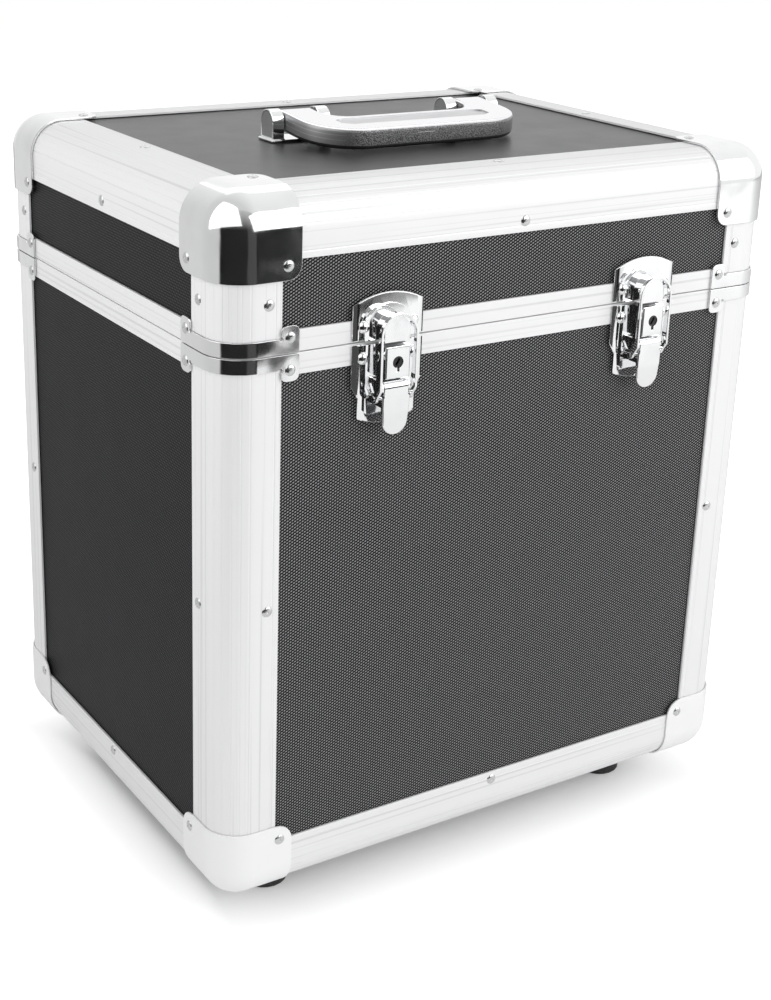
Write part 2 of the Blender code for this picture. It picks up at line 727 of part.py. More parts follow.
def front_place(middle):
    """Turns (across, height from the seam, distance in front) into case coordinates."""
    return lambda p, q, t: Vector((middle + p, -HALF_DEPTH - t, SEAM_Z + q))


def side_place(middle):
    """Turns (distance in front, height from the seam, across) into case coordinates."""
    return lambda p, q, t: Vector((middle + t, -HALF_DEPTH - p, SEAM_Z + q))


def keeper_outline():
    """Upper latch plate: straight sides under a flat arch."""
    rise = KEEPER_TOP_HEIGHT - KEEPER_SIDE_HEIGHT
    radius = (PLATE_HALF_WIDTH ** 2 + rise ** 2) / (2 * rise)
    spread = math.degrees(math.asin(PLATE_HALF_WIDTH / radius))
    top = arc((0, KEEPER_TOP_HEIGHT - radius), radius, 90 - spread, 90 + spread, 2 * ARC_STEPS)
    return [(PLATE_HALF_WIDTH, PLATE_SEAM_INSET)] + top + [(-PLATE_HALF_WIDTH, PLATE_SEAM_INSET)]


def nose_outline(half_width):
    """The keeper's nose: straight sides under a half circle."""
    top = arc((0, NOSE_HEIGHT - half_width), half_width, 0, 180, 2 * ARC_STEPS)
    return [(half_width, PLATE_SEAM_INSET)] + top + [(-half_width, PLATE_SEAM_INSET)]


def keeper(middle, name, looks, lid):
    """Upper latch plate with its pressed dome and the nose under the hoop's arch."""
    place = front_place(middle)
    face = SEAT_GAP + PLATE_THICKNESS
    plate = solid_prism(keeper_outline(), place, SEAT_GAP, face)
    plate = finish(plate, name, looks["chrome"], carrier=lid)
    round_edges(plate, PLATE_EDGE, 1)
    dome = []
    for x, z in circle((0, DOME_CENTRE_HEIGHT), DOME_RADIUS, 2 * SMALL_TURN_STEPS):
        dome.append((x, max(z, PLATE_SEAM_INSET)))
    combine(plate, solid_prism(dome, place, face - DOME_RISE / 2, face + DOME_RISE), "UNION")
    nose = bmesh.new()
    lower = [nose.verts.new(place(x, z, face)) for x, z in nose_outline(NOSE_BASE_HALF_WIDTH)]
    upper = [nose.verts.new(place(x, z, NOSE_PROUD)) for x, z in nose_outline(NOSE_FACE_HALF_WIDTH)]
    bridge(nose, lower, upper)
    nose.faces.new(lower)
    nose.faces.new(upper)
    combine(plate, nose, "UNION")


def base_outline():
    """Lower latch plate: full width at the lock, narrower below, with a curved foot."""
    step = PLATE_HALF_WIDTH - BASE_LOW_HALF_WIDTH
    rise = BASE_DROP - BASE_SIDE_DROP
    radius = (BASE_LOW_HALF_WIDTH ** 2 + rise ** 2) / (2 * rise)
    spread = math.degrees(math.asin(BASE_LOW_HALF_WIDTH / radius))
    half = arc((0, radius - BASE_DROP), radius, 270, 270 + spread, ARC_STEPS)
    middle_drop = (BASE_FULL_WIDTH_DROP + BASE_NECK_DROP) / 2
    half += [
        (BASE_LOW_HALF_WIDTH, -BASE_NECK_DROP),
        (BASE_LOW_HALF_WIDTH + step / 2, -middle_drop),
        (PLATE_HALF_WIDTH, -BASE_FULL_WIDTH_DROP),
        (PLATE_HALF_WIDTH, -PLATE_SEAM_INSET),
    ]
    return half + [(-x, z) for x, z in reversed(half[1:])]


def latch_base(middle, name, looks):
    """Lower latch plate with its pressed channel, lock box and the two cheeks of the lever's pivot."""
    place = front_place(middle)
    face = SEAT_GAP + PLATE_THICKNESS
    base = finish(solid_prism(base_outline(), place, SEAT_GAP, face), name, looks["chrome"])
    round_edges(base, PLATE_EDGE, 1)
    seam = -PLATE_SEAM_INSET
    corner = LOCK_EDGE * 2
    channel = arc((CHANNEL_HALF_WIDTH - corner, corner - CHANNEL_DROP), corner, 270, 360, EAR_STEPS)
    channel += [(CHANNEL_HALF_WIDTH, seam)]
    channel = channel + [(-x, z) for x, z in reversed(channel)]
    combine(base, solid_prism(channel, place, face - DOME_RISE / 2, face + DOME_RISE), "UNION")
    half = LOCK_HALF_WIDTH
    block = [(half, seam), (-half, seam), (-half, -LOCK_DROP), (half, -LOCK_DROP)]
    box = solid_prism(block, place, face, LOCK_PROUD)
    front = [edge for edge in box.edges if all(is_front(vert, LOCK_PROUD) for vert in edge.verts)]
    bmesh.ops.bevel(
        box, geom=front, offset=LOCK_EDGE, offset_type="OFFSET", affect="EDGES",
        segments=2, profile=0.5, material=-1,
    )
    combine(base, box, "UNION")
    for side in (-1, 1):
        outline = arc((LEVER_AXIS_PROUD, -LEVER_AXIS_DROP), CHEEK_RADIUS, -90, 90, ARC_STEPS)
        outline += [(face, CHEEK_RADIUS - LEVER_AXIS_DROP), (face, -CHEEK_RADIUS - LEVER_AXIS_DROP)]
        inner, outer = side * CHEEK_INNER, side * CHEEK_OUTER
        combine(base, solid_prism(outline, side_place(middle), inner, outer), "UNION")
    pivot = circle((LEVER_AXIS_PROUD, -LEVER_AXIS_DROP), LEVER_BORE_RADIUS, SMALL_TURN_STEPS)
    reach = CHEEK_OUTER + CUT_OVERRUN
    combine(base, solid_prism(pivot, side_place(middle), -reach, reach), "DIFFERENCE")
    bore = circle((0, -PLUG_DROP), PLUG_BORE_RADIUS, FULL_TURN_STEPS)
    front_end = LOCK_PROUD + CUT_OVERRUN
    combine(base, solid_prism(bore, place, PLUG_SEAT - SEAT_GAP, front_end), "DIFFERENCE")
    slot = [
        (KEY_SLOT_HALF_WIDTH, -PLUG_DROP),
        (-KEY_SLOT_HALF_WIDTH, -PLUG_DROP),
        (-KEY_SLOT_HALF_WIDTH, -KEY_SLOT_DROP),
        (KEY_SLOT_HALF_WIDTH, -KEY_SLOT_DROP),
    ]
    combine(base, solid_prism(slot, place, LOCK_PROUD - KEY_SLOT_DEPTH, front_end), "DIFFERENCE")


def is_front(vert, proud):
    """True for a vertex that stands at this distance in front of the case."""
    return abs(vert.co.y + HALF_DEPTH + proud) < WELD


def lock_plug(middle, name, looks):
    """The part of the lock that turns with the key, with its keyway."""
    place = front_place(middle)
    pivot = place(0, -PLUG_DROP, LOCK_PROUD)
    front = LOCK_PROUD - PLUG_DISH
    barrel = circle((0, -PLUG_DROP), PLUG_RADIUS, FULL_TURN_STEPS)
    plug = finish(solid_prism(barrel, place, PLUG_SEAT, front), name, looks["chrome"], pivot)
    keyway = [
        (KEYWAY_HALF_WIDTH, KEYWAY_HALF_HEIGHT - PLUG_DROP),
        (-KEYWAY_HALF_WIDTH, KEYWAY_HALF_HEIGHT - PLUG_DROP),
        (-KEYWAY_HALF_WIDTH, -KEYWAY_HALF_HEIGHT - PLUG_DROP),
        (KEYWAY_HALF_WIDTH, -KEYWAY_HALF_HEIGHT - PLUG_DROP),
    ]
    cut = solid_prism(keyway, place, front - KEYWAY_DEPTH, front + CUT_OVERRUN)
    combine(plug, cut, "DIFFERENCE")


def lever_side():
    """Side outline of the lever: knuckle on the pivot, flat back and a tongue that flares out."""
    radius = LEVER_KNUCKLE_RADIUS
    axis = (LEVER_AXIS_PROUD, -LEVER_AXIS_DROP)
    tip = -LEVER_TIP_DROP
    shoulder = -LEVER_SHOULDER_DROP
    outline = arc(axis, radius, 180, 0, 2 * ARC_STEPS)
    front = axis[0] + radius
    flare = axis[0] + LEVER_TIP_FLARE
    for step in range(ARC_STEPS + 1):
        share = step / ARC_STEPS
        outline.append((front + (flare - front) * share ** 2, shoulder + (tip - shoulder) * share))
    for step in range(ARC_STEPS + 1):
        share = 1 - step / ARC_STEPS
        reach = front + (flare - front) * share ** 2 - LEVER_TIP_THICKNESS
        outline.append((reach, shoulder + (tip - shoulder) * share))
    outline.append((axis[0] - radius, shoulder))
    return outline


def lever_front():
    """Front outline of the lever: narrow between the cheeks, then wider, with a round tip."""
    radius = LEVER_TIP_HALF_WIDTH
    neck = LEVER_KNUCKLE_HALF_WIDTH
    top = LEVER_KNUCKLE_RADIUS - LEVER_AXIS_DROP + CUT_OVERRUN
    step = -LEVER_AXIS_DROP - LEVER_KNUCKLE_REACH
    outline = arc((0, radius - LEVER_TIP_DROP), radius, 270, 360, 2 * ARC_STEPS)
    outline += [(LEVER_HALF_WIDTH, -LEVER_SHOULDER_DROP), (LEVER_HALF_WIDTH, step)]
    outline += [(neck, step), (neck, top)]
    return outline + [(-x, z) for x, z in reversed(outline[1:])]


def latch_lever(middle, name, looks):
    """The tongue that is pulled to open the latch, with its pivot pin and the hoop's pin."""
    place = front_place(middle)
    side = side_place(middle)
    axis = (LEVER_AXIS_PROUD, -LEVER_AXIS_DROP)
    pivot = side(*axis, 0)
    reach = LEVER_HALF_WIDTH + CUT_OVERRUN
    body = solid_prism(lever_side(), side, -reach, reach)
    lever = finish(body, name, looks["chrome"], pivot)
    deep = LEVER_AXIS_PROUD + LEVER_TIP_FLARE + CUT_OVERRUN
    combine(lever, solid_prism(lever_front(), place, 0, deep), "INTERSECT")
    rod = circle(axis, LEVER_PIN_RADIUS, SMALL_TURN_STEPS)
    end = CHEEK_OUTER
    combine(lever, solid_prism(rod, side, -end, end), "UNION")
    rod = circle((axis[0], axis[1] - HOOP_AXIS_BELOW_LEVER), HOOP_PIN_RADIUS, SMALL_TURN_STEPS)
    end = HOOP_OUTER_HALF_WIDTH + HOOP_PIN_OVERHANG
    combine(lever, solid_prism(rod, side, -end, end), "UNION")


def hoop_band(half_width):
    """One edge of the hoop in front view, from its left foot over the arch to its right foot."""
    foot = -LEVER_AXIS_DROP - HOOP_AXIS_BELOW_LEVER - HOOP_KNUCKLE_RADIUS - CUT_OVERRUN
    centre = HOOP_ARCH_HEIGHT - HOOP_OUTER_HALF_WIDTH
    arch = arc((0, centre), half_width, 180, 0, 3 * ARC_STEPS)
    return [(-half_width, foot)] + arch + [(half_width, foot)]


def hoop_side():
    """Side outline of the hoop: knuckle on its pin and legs that grow thinner to the arch."""
    axis = (LEVER_AXIS_PROUD, -LEVER_AXIS_DROP - HOOP_AXIS_BELOW_LEVER)
    top = HOOP_ARCH_HEIGHT + CUT_OVERRUN
    radius = HOOP_KNUCKLE_RADIUS
    outline = arc(axis, radius, 180, 360, 2 * ARC_STEPS)
    outline += [
        (HOOP_PROUD, axis[1] + 2 * radius),
        (HOOP_PROUD, top),
        (HOOP_ARCH_BACK, top),
        (HOOP_ARCH_BACK, 0),
        (HOOP_PROUD - HOOP_LEG_DEPTH, axis[1] + 2 * radius),
    ]
    return outline


def latch_hoop(middle, name, looks):
    """The drawn hoop, whose arch stands in front of the keeper's nose."""
    side = side_place(middle)
    axis = (LEVER_AXIS_PROUD, -LEVER_AXIS_DROP - HOOP_AXIS_BELOW_LEVER)
    pivot = side(*axis, 0)
    reach = HOOP_OUTER_HALF_WIDTH + CUT_OVERRUN
    hoop = finish(solid_prism(hoop_side(), side, -reach, reach), name, looks["chrome"], pivot)
    outer = hoop_band(HOOP_OUTER_HALF_WIDTH)
    inner = hoop_band(HOOP_INNER_HALF_WIDTH)
    band = outer + list(reversed(inner))
    tool = solid_prism(band, front_place(middle), 0, HOOP_PROUD + CUT_OVERRUN)
    combine(hoop, tool, "INTERSECT")
    bore = circle(axis, HOOP_BORE_RADIUS, SMALL_TURN_STEPS)
    combine(hoop, solid_prism(bore, side, -reach, reach), "DIFFERENCE")


def latches(looks, lid):
    """Both draw latches, each with its keeper, base, lever, hoop and lock plug."""
    for side, sign in (("left", -1), ("right", 1)):
        middle = sign * (HALF_WIDTH - LATCH_INSET)
        keeper(middle, f"latch_keeper_{side}", looks, lid)
        latch_base(middle, f"latch_base_{side}", looks)
        latch_lever(middle, f"latch_lever_{side}", looks)
        latch_hoop(middle, f"latch_hoop_{side}", looks)
        lock_plug(middle, f"lock_plug_{side}", looks)


def handle_tilt():
    """Angle below level at which the handle's lower front edge just clears the top board."""
    drop = HANDLE_AXIS_PROUD + BOARD_INSET - HANDLE_REST_GAP
    half = HANDLE_THICKNESS / 2
    reach = math.hypot(HANDLE_REACH, half)
    return math.asin(drop / reach) - math.atan2(half, HANDLE_REACH)


def handle_place(s, n, x):
    """Turns (forward along the handle, out of its plane, across) into case coordinates."""
    tilt = handle_tilt()
    forward = Vector((0, -math.cos(tilt), -math.sin(tilt)))
    upward = Vector((0, -math.sin(tilt), math.cos(tilt)))
    axis = Vector((x, HANDLE_AXIS_Y, HANDLE_AXIS_Z))
    return axis + forward * s + upward * n


def handle_outline():
    """Plan of the handle as (across, forward): arms between the lugs and a broad curved grip."""
    back = -HANDLE_THICKNESS
    corner = (ARM_OUTER - HANDLE_CORNER_RADIUS, HANDLE_REACH - HANDLE_CORNER_RADIUS)
    grip = HANDLE_REACH - HANDLE_GRIP_WIDTH
    inner = (ARM_INNER - HANDLE_INNER_RADIUS, grip - HANDLE_INNER_RADIUS)
    half = arc(inner, HANDLE_INNER_RADIUS, 90, 0, ARC_STEPS)
    half += [(ARM_INNER, back), (ARM_OUTER, back)]
    half += arc(corner, HANDLE_CORNER_RADIUS, 0, 90, 2 * ARC_STEPS)
    return half + [(-x, s) for x, s in reversed(half)]


def handle(looks, lid):
    """The folding handle, at rest on the lid with its front edge low."""

    def flat(p, q, t):
        return handle_place(q, t, p)

    pivot = (0, HANDLE_AXIS_Y, HANDLE_AXIS_Z)
    half = HANDLE_THICKNESS / 2
    plan = solid_prism(handle_outline(), flat, -half, half)
    grip = finish(plan, "handle", looks["cast"], pivot, carrier=lid)
    round_edges(grip, HANDLE_EDGE)
    side = arc((0, 0), half, 90, 270, 2 * ARC_STEPS)
    side += [(HANDLE_REACH + CUT_OVERRUN, -half), (HANDLE_REACH + CUT_OVERRUN, half)]
    reach = ARM_OUTER + CUT_OVERRUN
    combine(grip, solid_prism(side, handle_place, -reach, reach), "INTERSECT")
    bore = circle((0, 0), HANDLE_BORE_RADIUS, SMALL_TURN_STEPS)
    combine(grip, solid_prism(bore, handle_place, -reach, reach), "DIFFERENCE")
    centre = HANDLE_REACH - HANDLE_GRIP_WIDTH / 2 - HANDLE_INLAY_OFFSET
    end = HANDLE_INLAY_HALF_LENGTH - HANDLE_INLAY_HALF_WIDTH
    slot = arc((end, centre), HANDLE_INLAY_HALF_WIDTH, -90, 90, EAR_STEPS)
    slot += arc((-end, centre), HANDLE_INLAY_HALF_WIDTH, 90, 270, EAR_STEPS)
    inlay = solid_prism(slot, flat, half - HANDLE_INLAY_DEPTH, half + CUT_OVERRUN)
    combine(grip, inlay, "DIFFERENCE")


def handle_brackets(looks, lid):
    """Two plates on the top board, each with two lugs and the pin that the handle turns on."""
    plate_low = from_top(BOARD_INSET) + SEAT_GAP
    plate_top = plate_low + LUG_PLATE_THICKNESS
    half = LUG_THICKNESS / 2
    inner = LUG_INNER_AT - half - LUG_PLATE_OVERHANG
    outer = LUG_OUTER_AT + half + LUG_PLATE_OVERHANG
    reach = (outer - inner) / 2 - LUG_PLATE_RADIUS
    depth = LUG_PLATE_HALF_DEPTH - LUG_PLATE_RADIUS
    outline = []
    for quarter, (side_x, side_y) in enumerate(((1, 1), (-1, 1), (-1, -1), (1, -1))):
        spot = ((inner + outer) / 2 + side_x * reach, HANDLE_AXIS_Y + side_y * depth)
        outline += arc(spot, LUG_PLATE_RADIUS, 90 * quarter, 90 * quarter + 90, EAR_STEPS)
    for name, sign in (("left", -1), ("right", 1)):

        def level(p, q, t, sign=sign):
            return Vector((sign * p, q, t))

        plan = solid_prism(outline, level, plate_low, plate_top)
        bracket = finish(plan, "handle_bracket_" + name, looks["chrome"], carrier=lid)
        for middle in (LUG_INNER_AT, LUG_OUTER_AT):
            lug = arc((HANDLE_AXIS_Y, HANDLE_AXIS_Z), LUG_RADIUS, 0, 180, 2 * ARC_STEPS)
            lug += [(HANDLE_AXIS_Y - LUG_RADIUS, plate_low + SEAT_GAP)]
            lug += [(HANDLE_AXIS_Y + LUG_RADIUS, plate_low + SEAT_GAP)]
            shape = solid_prism(lug, along_x, sign * (middle - half), sign * (middle + half))
            combine(bracket, shape, "UNION")
        round_edges(bracket, LUG_EDGE, 1)
        rod = circle((HANDLE_AXIS_Y, HANDLE_AXIS_Z), HANDLE_PIN_RADIUS, SMALL_TURN_STEPS)
        shape = solid_prism(rod, along_x, sign * LUG_INNER_AT, sign * LUG_OUTER_AT)
        combine(bracket, shape, "UNION")


def main():
    """Builds the whole case."""
    for old in list(bpy.data.objects):
        bpy.data.objects.remove(old, do_unlink=True)
    looks = finishes()
    lid = empty("lid_axis", (0, HINGE_AXIS_Y, SEAM_Z))
    boards(looks, lid)
    extrusions(looks, lid)
    rims(looks, lid)
    caps(looks, lid)
    seam_brackets(looks, lid)
    feet(looks)
    hinge(looks, lid)
    latches(looks, lid)
    handle(looks, lid)
    handle_brackets(looks, lid)


main()
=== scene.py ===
"""Looks of a 12-inch record carrying case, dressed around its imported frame.

Every visible piece is finished here: grooved extrusions, ball corners, seam brackets, draw latches,
handle, hinge, rivets, embossed boards and foam, then a plain studio. Lengths are in metres, +Z is up
and the front faces -Y.
"""

import json
import math

import bmesh
import bpy
from bpy.props import FloatProperty, FloatVectorProperty, IntProperty, PointerProperty
from mathutils import Matrix, Vector

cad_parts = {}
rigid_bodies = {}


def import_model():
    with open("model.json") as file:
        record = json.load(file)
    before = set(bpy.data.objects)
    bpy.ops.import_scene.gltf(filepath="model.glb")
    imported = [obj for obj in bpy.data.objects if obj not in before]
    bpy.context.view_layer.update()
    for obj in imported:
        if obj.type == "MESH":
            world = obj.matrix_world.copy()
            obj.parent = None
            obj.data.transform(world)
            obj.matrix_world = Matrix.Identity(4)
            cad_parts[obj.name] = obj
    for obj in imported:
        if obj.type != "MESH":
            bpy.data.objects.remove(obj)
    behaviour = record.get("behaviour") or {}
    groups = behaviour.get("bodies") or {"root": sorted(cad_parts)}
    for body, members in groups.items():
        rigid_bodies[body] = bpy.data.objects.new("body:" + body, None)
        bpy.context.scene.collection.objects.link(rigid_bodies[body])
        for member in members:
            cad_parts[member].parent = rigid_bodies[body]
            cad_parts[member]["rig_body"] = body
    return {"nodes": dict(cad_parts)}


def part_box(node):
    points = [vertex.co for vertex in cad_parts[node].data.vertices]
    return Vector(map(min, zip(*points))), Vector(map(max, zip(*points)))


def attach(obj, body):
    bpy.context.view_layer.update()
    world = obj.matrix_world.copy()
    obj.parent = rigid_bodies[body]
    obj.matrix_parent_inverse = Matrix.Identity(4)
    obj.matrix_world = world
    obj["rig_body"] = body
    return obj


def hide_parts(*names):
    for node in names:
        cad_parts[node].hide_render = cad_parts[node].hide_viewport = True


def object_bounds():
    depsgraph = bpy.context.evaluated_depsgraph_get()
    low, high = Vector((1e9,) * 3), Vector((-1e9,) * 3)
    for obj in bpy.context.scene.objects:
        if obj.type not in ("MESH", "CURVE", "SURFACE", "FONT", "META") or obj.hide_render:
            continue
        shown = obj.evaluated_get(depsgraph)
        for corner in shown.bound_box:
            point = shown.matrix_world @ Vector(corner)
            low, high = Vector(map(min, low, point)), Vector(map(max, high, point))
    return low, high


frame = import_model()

bl_info = {
    "name": "Record Carrying Case",
    "version": (1, 0, 0),
    "blender": (4, 5, 0),
    "location": "View3D > Sidebar > Case",
    "description": "Finishes a hinged record carrying case and sets it in a plain studio",
    "category": "Object",
}

CAD_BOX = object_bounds()
# Distance within which two vertices are one
MERGE = 0.00001
CORNERS = {
    "front_left": (-1, -1),
    "front_right": (1, -1),
    "back_left": (-1, 1),
    "back_right": (1, 1),
}
SIDES = {"front": (0, -1), "back": (0, 1), "left": (-1, 0), "right": (1, 0)}

# Outer planes of the case, read from the frame
RIM_LOW, RIM_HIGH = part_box("body_rim")
BASE_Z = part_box("bottom_rail_front")[0].z
TOP_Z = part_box("top_rail_front")[1].z
SEAM_Z = (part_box("latch_base_left")[1].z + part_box("latch_keeper_left")[0].z) / 2
CENTRE_Y = (RIM_LOW.y + RIM_HIGH.y) / 2
HALF_WIDTH = RIM_HIGH.x
HALF_DEPTH = (RIM_HIGH.y - RIM_LOW.y) / 2


class CaseSizes(bpy.types.PropertyGroup):
    """Sizes of the finish, which the frame doesn't hold."""

    edge: FloatProperty(
        name="Edge rounding", description="Rounding of the metal edges",
        default=0.00022, unit="LENGTH",
    )
    corner_radius: FloatProperty(
        name="Ball radius", description="Radius of the case's rounded edges",
        default=0.0185, unit="LENGTH",
    )
    corner_steps: IntProperty(
        name="Ball steps", description="Steps across a ball corner", default=12, min=2,
    )
    rivet_radius: FloatProperty(
        name="Rivet radius", description="Radius of a small rivet's head",
        default=0.0030, unit="LENGTH",
    )
    rivet_height: FloatProperty(
        name="Rivet height", description="Height of a small rivet's head",
        default=0.0009, unit="LENGTH",
    )
    latch_rivet_radius: FloatProperty(
        name="Latch rivet radius", description="Radius of a domed latch rivet",
        default=0.0032, unit="LENGTH",
    )
    latch_rivet_height: FloatProperty(
        name="Latch rivet height", description="Height of a domed latch rivet",
        default=0.0021, unit="LENGTH",
    )
    emboss_pitch: FloatProperty(
        name="Emboss pitch", description="Distance between rows of the laminate's dots",
        default=0.00146, unit="LENGTH",
    )


class CaseColours(bpy.types.PropertyGroup):
    """Base colours of the finishes."""

    aluminium: FloatVectorProperty(
        name="Aluminium", description="Satin anodised extrusions", subtype="COLOR",
        default=(0.885, 0.885, 0.89), min=0, max=1,
    )
    chrome: FloatVectorProperty(
        name="Chrome", description="Bright plated fittings", subtype="COLOR",
        default=(0.90, 0.905, 0.91), min=0, max=1,
    )
    satin: FloatVectorProperty(
        name="Satin corners", description="Pressed base corners", subtype="COLOR",
        default=(0.95, 0.95, 0.955), min=0, max=1,
    )
    laminate_low: FloatVectorProperty(
        name="Laminate ground", description="Laminate between the raised dots", subtype="COLOR",
        default=(0.009, 0.009, 0.010), min=0, max=1,
    )
    # The dots' light colour is a painted highlight of their glints
    laminate_dot_glint: FloatVectorProperty(
        name="Laminate dots", description="Raised dots of the laminate", subtype="COLOR",
        default=(0.338, 0.338, 0.342), min=0, max=1,
    )
    rubber: FloatVectorProperty(
        name="Rubber", description="Feet", subtype="COLOR", default=(0.02, 0.02, 0.02), min=0, max=1,
    )
    foam: FloatVectorProperty(
        name="Foam", description="Lining of floor and lid", subtype="COLOR",
        default=(0.035, 0.035, 0.038), min=0, max=1,
    )
    cast: FloatVectorProperty(
        name="Cast metal", description="Handle", subtype="COLOR",
        default=(0.72, 0.72, 0.73), min=0, max=1,
    )
    steel: FloatVectorProperty(
        name="Hinge steel", description="Rear hinge", subtype="COLOR",
        default=(0.66, 0.66, 0.68), min=0, max=1,
    )


# Shader nodes


def feed(tree, socket, value):
    """Types a number into a socket, or links another socket to it."""
    if isinstance(value, (int, float)):
        socket.default_value = value
    else:
        tree.links.new(value, socket)


def math_node(tree, operation, *values, clamp=False):
    """A Math node of numbers or sockets."""
    node = tree.nodes.new("ShaderNodeMath")
    node.operation = operation
    node.use_clamp = clamp
    for socket, value in zip(node.inputs, values):
        feed(tree, socket, value)
    return node.outputs[0]


def mix_node(tree, factor, first, second):
    """A Mix node from one value to another."""
    node = tree.nodes.new("ShaderNodeMix")
    for label, value in (("Factor", factor), ("A", first), ("B", second)):
        feed(tree, node.inputs[label], value)
    return node.outputs["Result"]


def axes(tree, place):
    """The X, Y and Z sockets of a place."""
    node = tree.nodes.new("ShaderNodeSeparateXYZ")
    tree.links.new(place, node.inputs[0])
    return node.outputs


def stretched(tree, place, scale):
    """Coordinates scaled unevenly, for marks that run along an extrusion."""
    node = tree.nodes.new("ShaderNodeMapping")
    node.inputs["Scale"].default_value = scale
    tree.links.new(place, node.inputs["Vector"])
    return node.outputs["Vector"]


def spread(tree, value, low, high, reach=(0, 1)):
    """Maps a value from its reach to another range."""
    node = tree.nodes.new("ShaderNodeMapRange")
    tree.links.new(value, node.inputs["Value"])
    for label, limit in zip(("From Min", "From Max", "To Min", "To Max"), (*reach, low, high)):
        node.inputs[label].default_value = limit
    return node.outputs["Result"]


def ramp(tree, value, points):
    """A curve of straight lines through (position, level) points."""
    node = tree.nodes.new("ShaderNodeFloatCurve")
    curve = node.mapping.curves[0]
    node.mapping.use_clip = False
    while len(curve.points) < len(points):
        curve.points.new(0, 0)
    for point, place in zip(curve.points, points):
        point.location = place
        point.handle_type = "VECTOR"
    node.mapping.update()
    tree.links.new(value, node.inputs["Value"])
    return node.outputs["Value"]


def within(tree, value, centre, reach):
    """1 where a value lies near a centre, and 0 elsewhere."""
    off = math_node(tree, "ABSOLUTE", math_node(tree, "SUBTRACT", value, centre))
    return math_node(tree, "LESS_THAN", off, reach)


# Shared node groups

# Angle in degrees and weight of each set of waves, and how their sum becomes a mask; the heavier set
# paints the shading of dots lit from one side
DOT_WAVES = ((0, 0.7), (60, 0.7), (-60, 1.5))
DOT_GAIN = 1 / 2.6
DOT_LIFT = 0.18


def new_group(name, inputs):
    """A shader node group with a place and named numbers as its inputs, and a mask as its output."""
    group = bpy.data.node_groups.new(name, "ShaderNodeTree")
    group.interface.new_socket(name="Vector", in_out="INPUT", socket_type="NodeSocketVector")
    for label, value in inputs:
        socket = group.interface.new_socket(
            name=label, in_out="INPUT", socket_type="NodeSocketFloat")
        socket.default_value = value
    group.interface.new_socket(name="Mask", in_out="OUTPUT", socket_type="NodeSocketFloat")
    start = group.nodes.new("NodeGroupInput")
    end = group.nodes.new("NodeGroupOutput")
    return group, start.outputs, end.inputs["Mask"]


def dot_waves(tree, across, along, angle, weight):
    """Waves across a plane at an angle: one of the three sets that make rows of dots."""
    part = math_node(tree, "MULTIPLY", across, math.cos(angle) * math.tau)
    other = math_node(tree, "MULTIPLY", along, math.sin(angle) * math.tau)
    wave = math_node(tree, "COSINE", math_node(tree, "ADD", part, other))
    return math_node(tree, "MULTIPLY", wave, weight)


def emboss_group():
    """Rows of small raised dots on the three pairs of faces of the case; their light colour is a
    painted glint, weaker on the faces away from the front and back.
    """
    group, given, mask = new_group("raised_dots", (
        ("Pitch", 0.0015), ("Side plane", 0.17), ("Front plane", 0.13), ("Middle", 0),
        ("Top plane", 0.4), ("Bottom plane", 0.03), ("Turned share", 0.1), ("Plain inside", 0.06),
    ))
    x, y, z = axes(group, given["Vector"])
    depth = math_node(group, "ABSOLUTE", math_node(group, "SUBTRACT", y, given["Middle"]))
    on_side = math_node(
        group, "GREATER_THAN", math_node(group, "ABSOLUTE", x), given["Side plane"])
    on_front = math_node(group, "GREATER_THAN", depth, given["Front plane"])
    across = math_node(group, "DIVIDE", mix_node(group, on_side, x, z), given["Pitch"])
    along = math_node(group, "DIVIDE", mix_node(group, on_front, y, z), given["Pitch"])
    total = 0
    for angle, weight in DOT_WAVES:
        waves = dot_waves(group, across, along, math.radians(angle), weight)
        total = math_node(group, "ADD", total, waves)
    dots = math_node(group, "MULTIPLY_ADD", total, DOT_GAIN, DOT_LIFT, clamp=True)
    # The dots' painted glints are weaker on the turned faces
    turned = math_node(group, "MAXIMUM", on_side, math_node(group, "SUBTRACT", 1, on_front))
    share = mix_node(group, turned, 1, given["Turned share"])
    above = math_node(group, "GREATER_THAN", z, given["Top plane"])
    below = math_node(group, "LESS_THAN", z, given["Bottom plane"])
    outer = math_node(group, "MAXIMUM", math_node(group, "MAXIMUM", on_side, on_front),
                      math_node(group, "MAXIMUM", above, below))
    shown = mix_node(
        group, outer, given["Plain inside"], math_node(group, "MULTIPLY", dots, share))
    group.links.new(shown, mask)


def grain_group():
    """Fine even grain, for cast metal, rubber and smudges on bright metal."""
    group, given, mask = new_group("fine_grain", (
        ("Scale", 800), ("Detail", 3), ("Low", 0.4), ("High", 0.6),
    ))
    noise = group.nodes.new("ShaderNodeTexNoise")
    for label in ("Vector", "Scale", "Detail"):
        group.links.new(given[label], noise.inputs[label])
    limits = group.nodes.new("ShaderNodeMapRange")
    group.links.new(noise.outputs["Fac"], limits.inputs["Value"])
    group.links.new(given["Low"], limits.inputs["From Min"])
    group.links.new(given["High"], limits.inputs["From Max"])
    group.links.new(limits.outputs["Result"], mask)


def group_mask(tree, place, name, values):
    """The mask of a shared node group, which is built the first time that it is asked for."""
    if "raised_dots" not in bpy.data.node_groups:
        emboss_group()
        grain_group()
    node = tree.nodes.new("ShaderNodeGroup")
    node.node_tree = bpy.data.node_groups[name]
    tree.links.new(place, node.inputs["Vector"])
    for label, value in values.items():
        node.inputs[label].default_value = value
    return node.outputs["Mask"]


def grain(tree, place, scale, detail=3, low=0.4, high=0.6):
    """A grain mask from the shared group."""
    values = {"Scale": scale, "Detail": detail, "Low": low, "High": high}
    return group_mask(tree, place, "fine_grain", values)


# Materials

# How each extrusion's draw lines are stretched along it
DRAW_LINES = {
    "aluminium_round": (0.004, 0.004, 1),
    "aluminium_across": (0.004, 1, 1),
    "aluminium_deep": (1, 0.004, 1),
    "aluminium_upright": (1, 1, 0.004),
}
# Least roughness and depth of the unevenness of each plating
PLATINGS = {"bright_chrome": (0.09, 0.0005), "latch_chrome": (0.045, 0)}
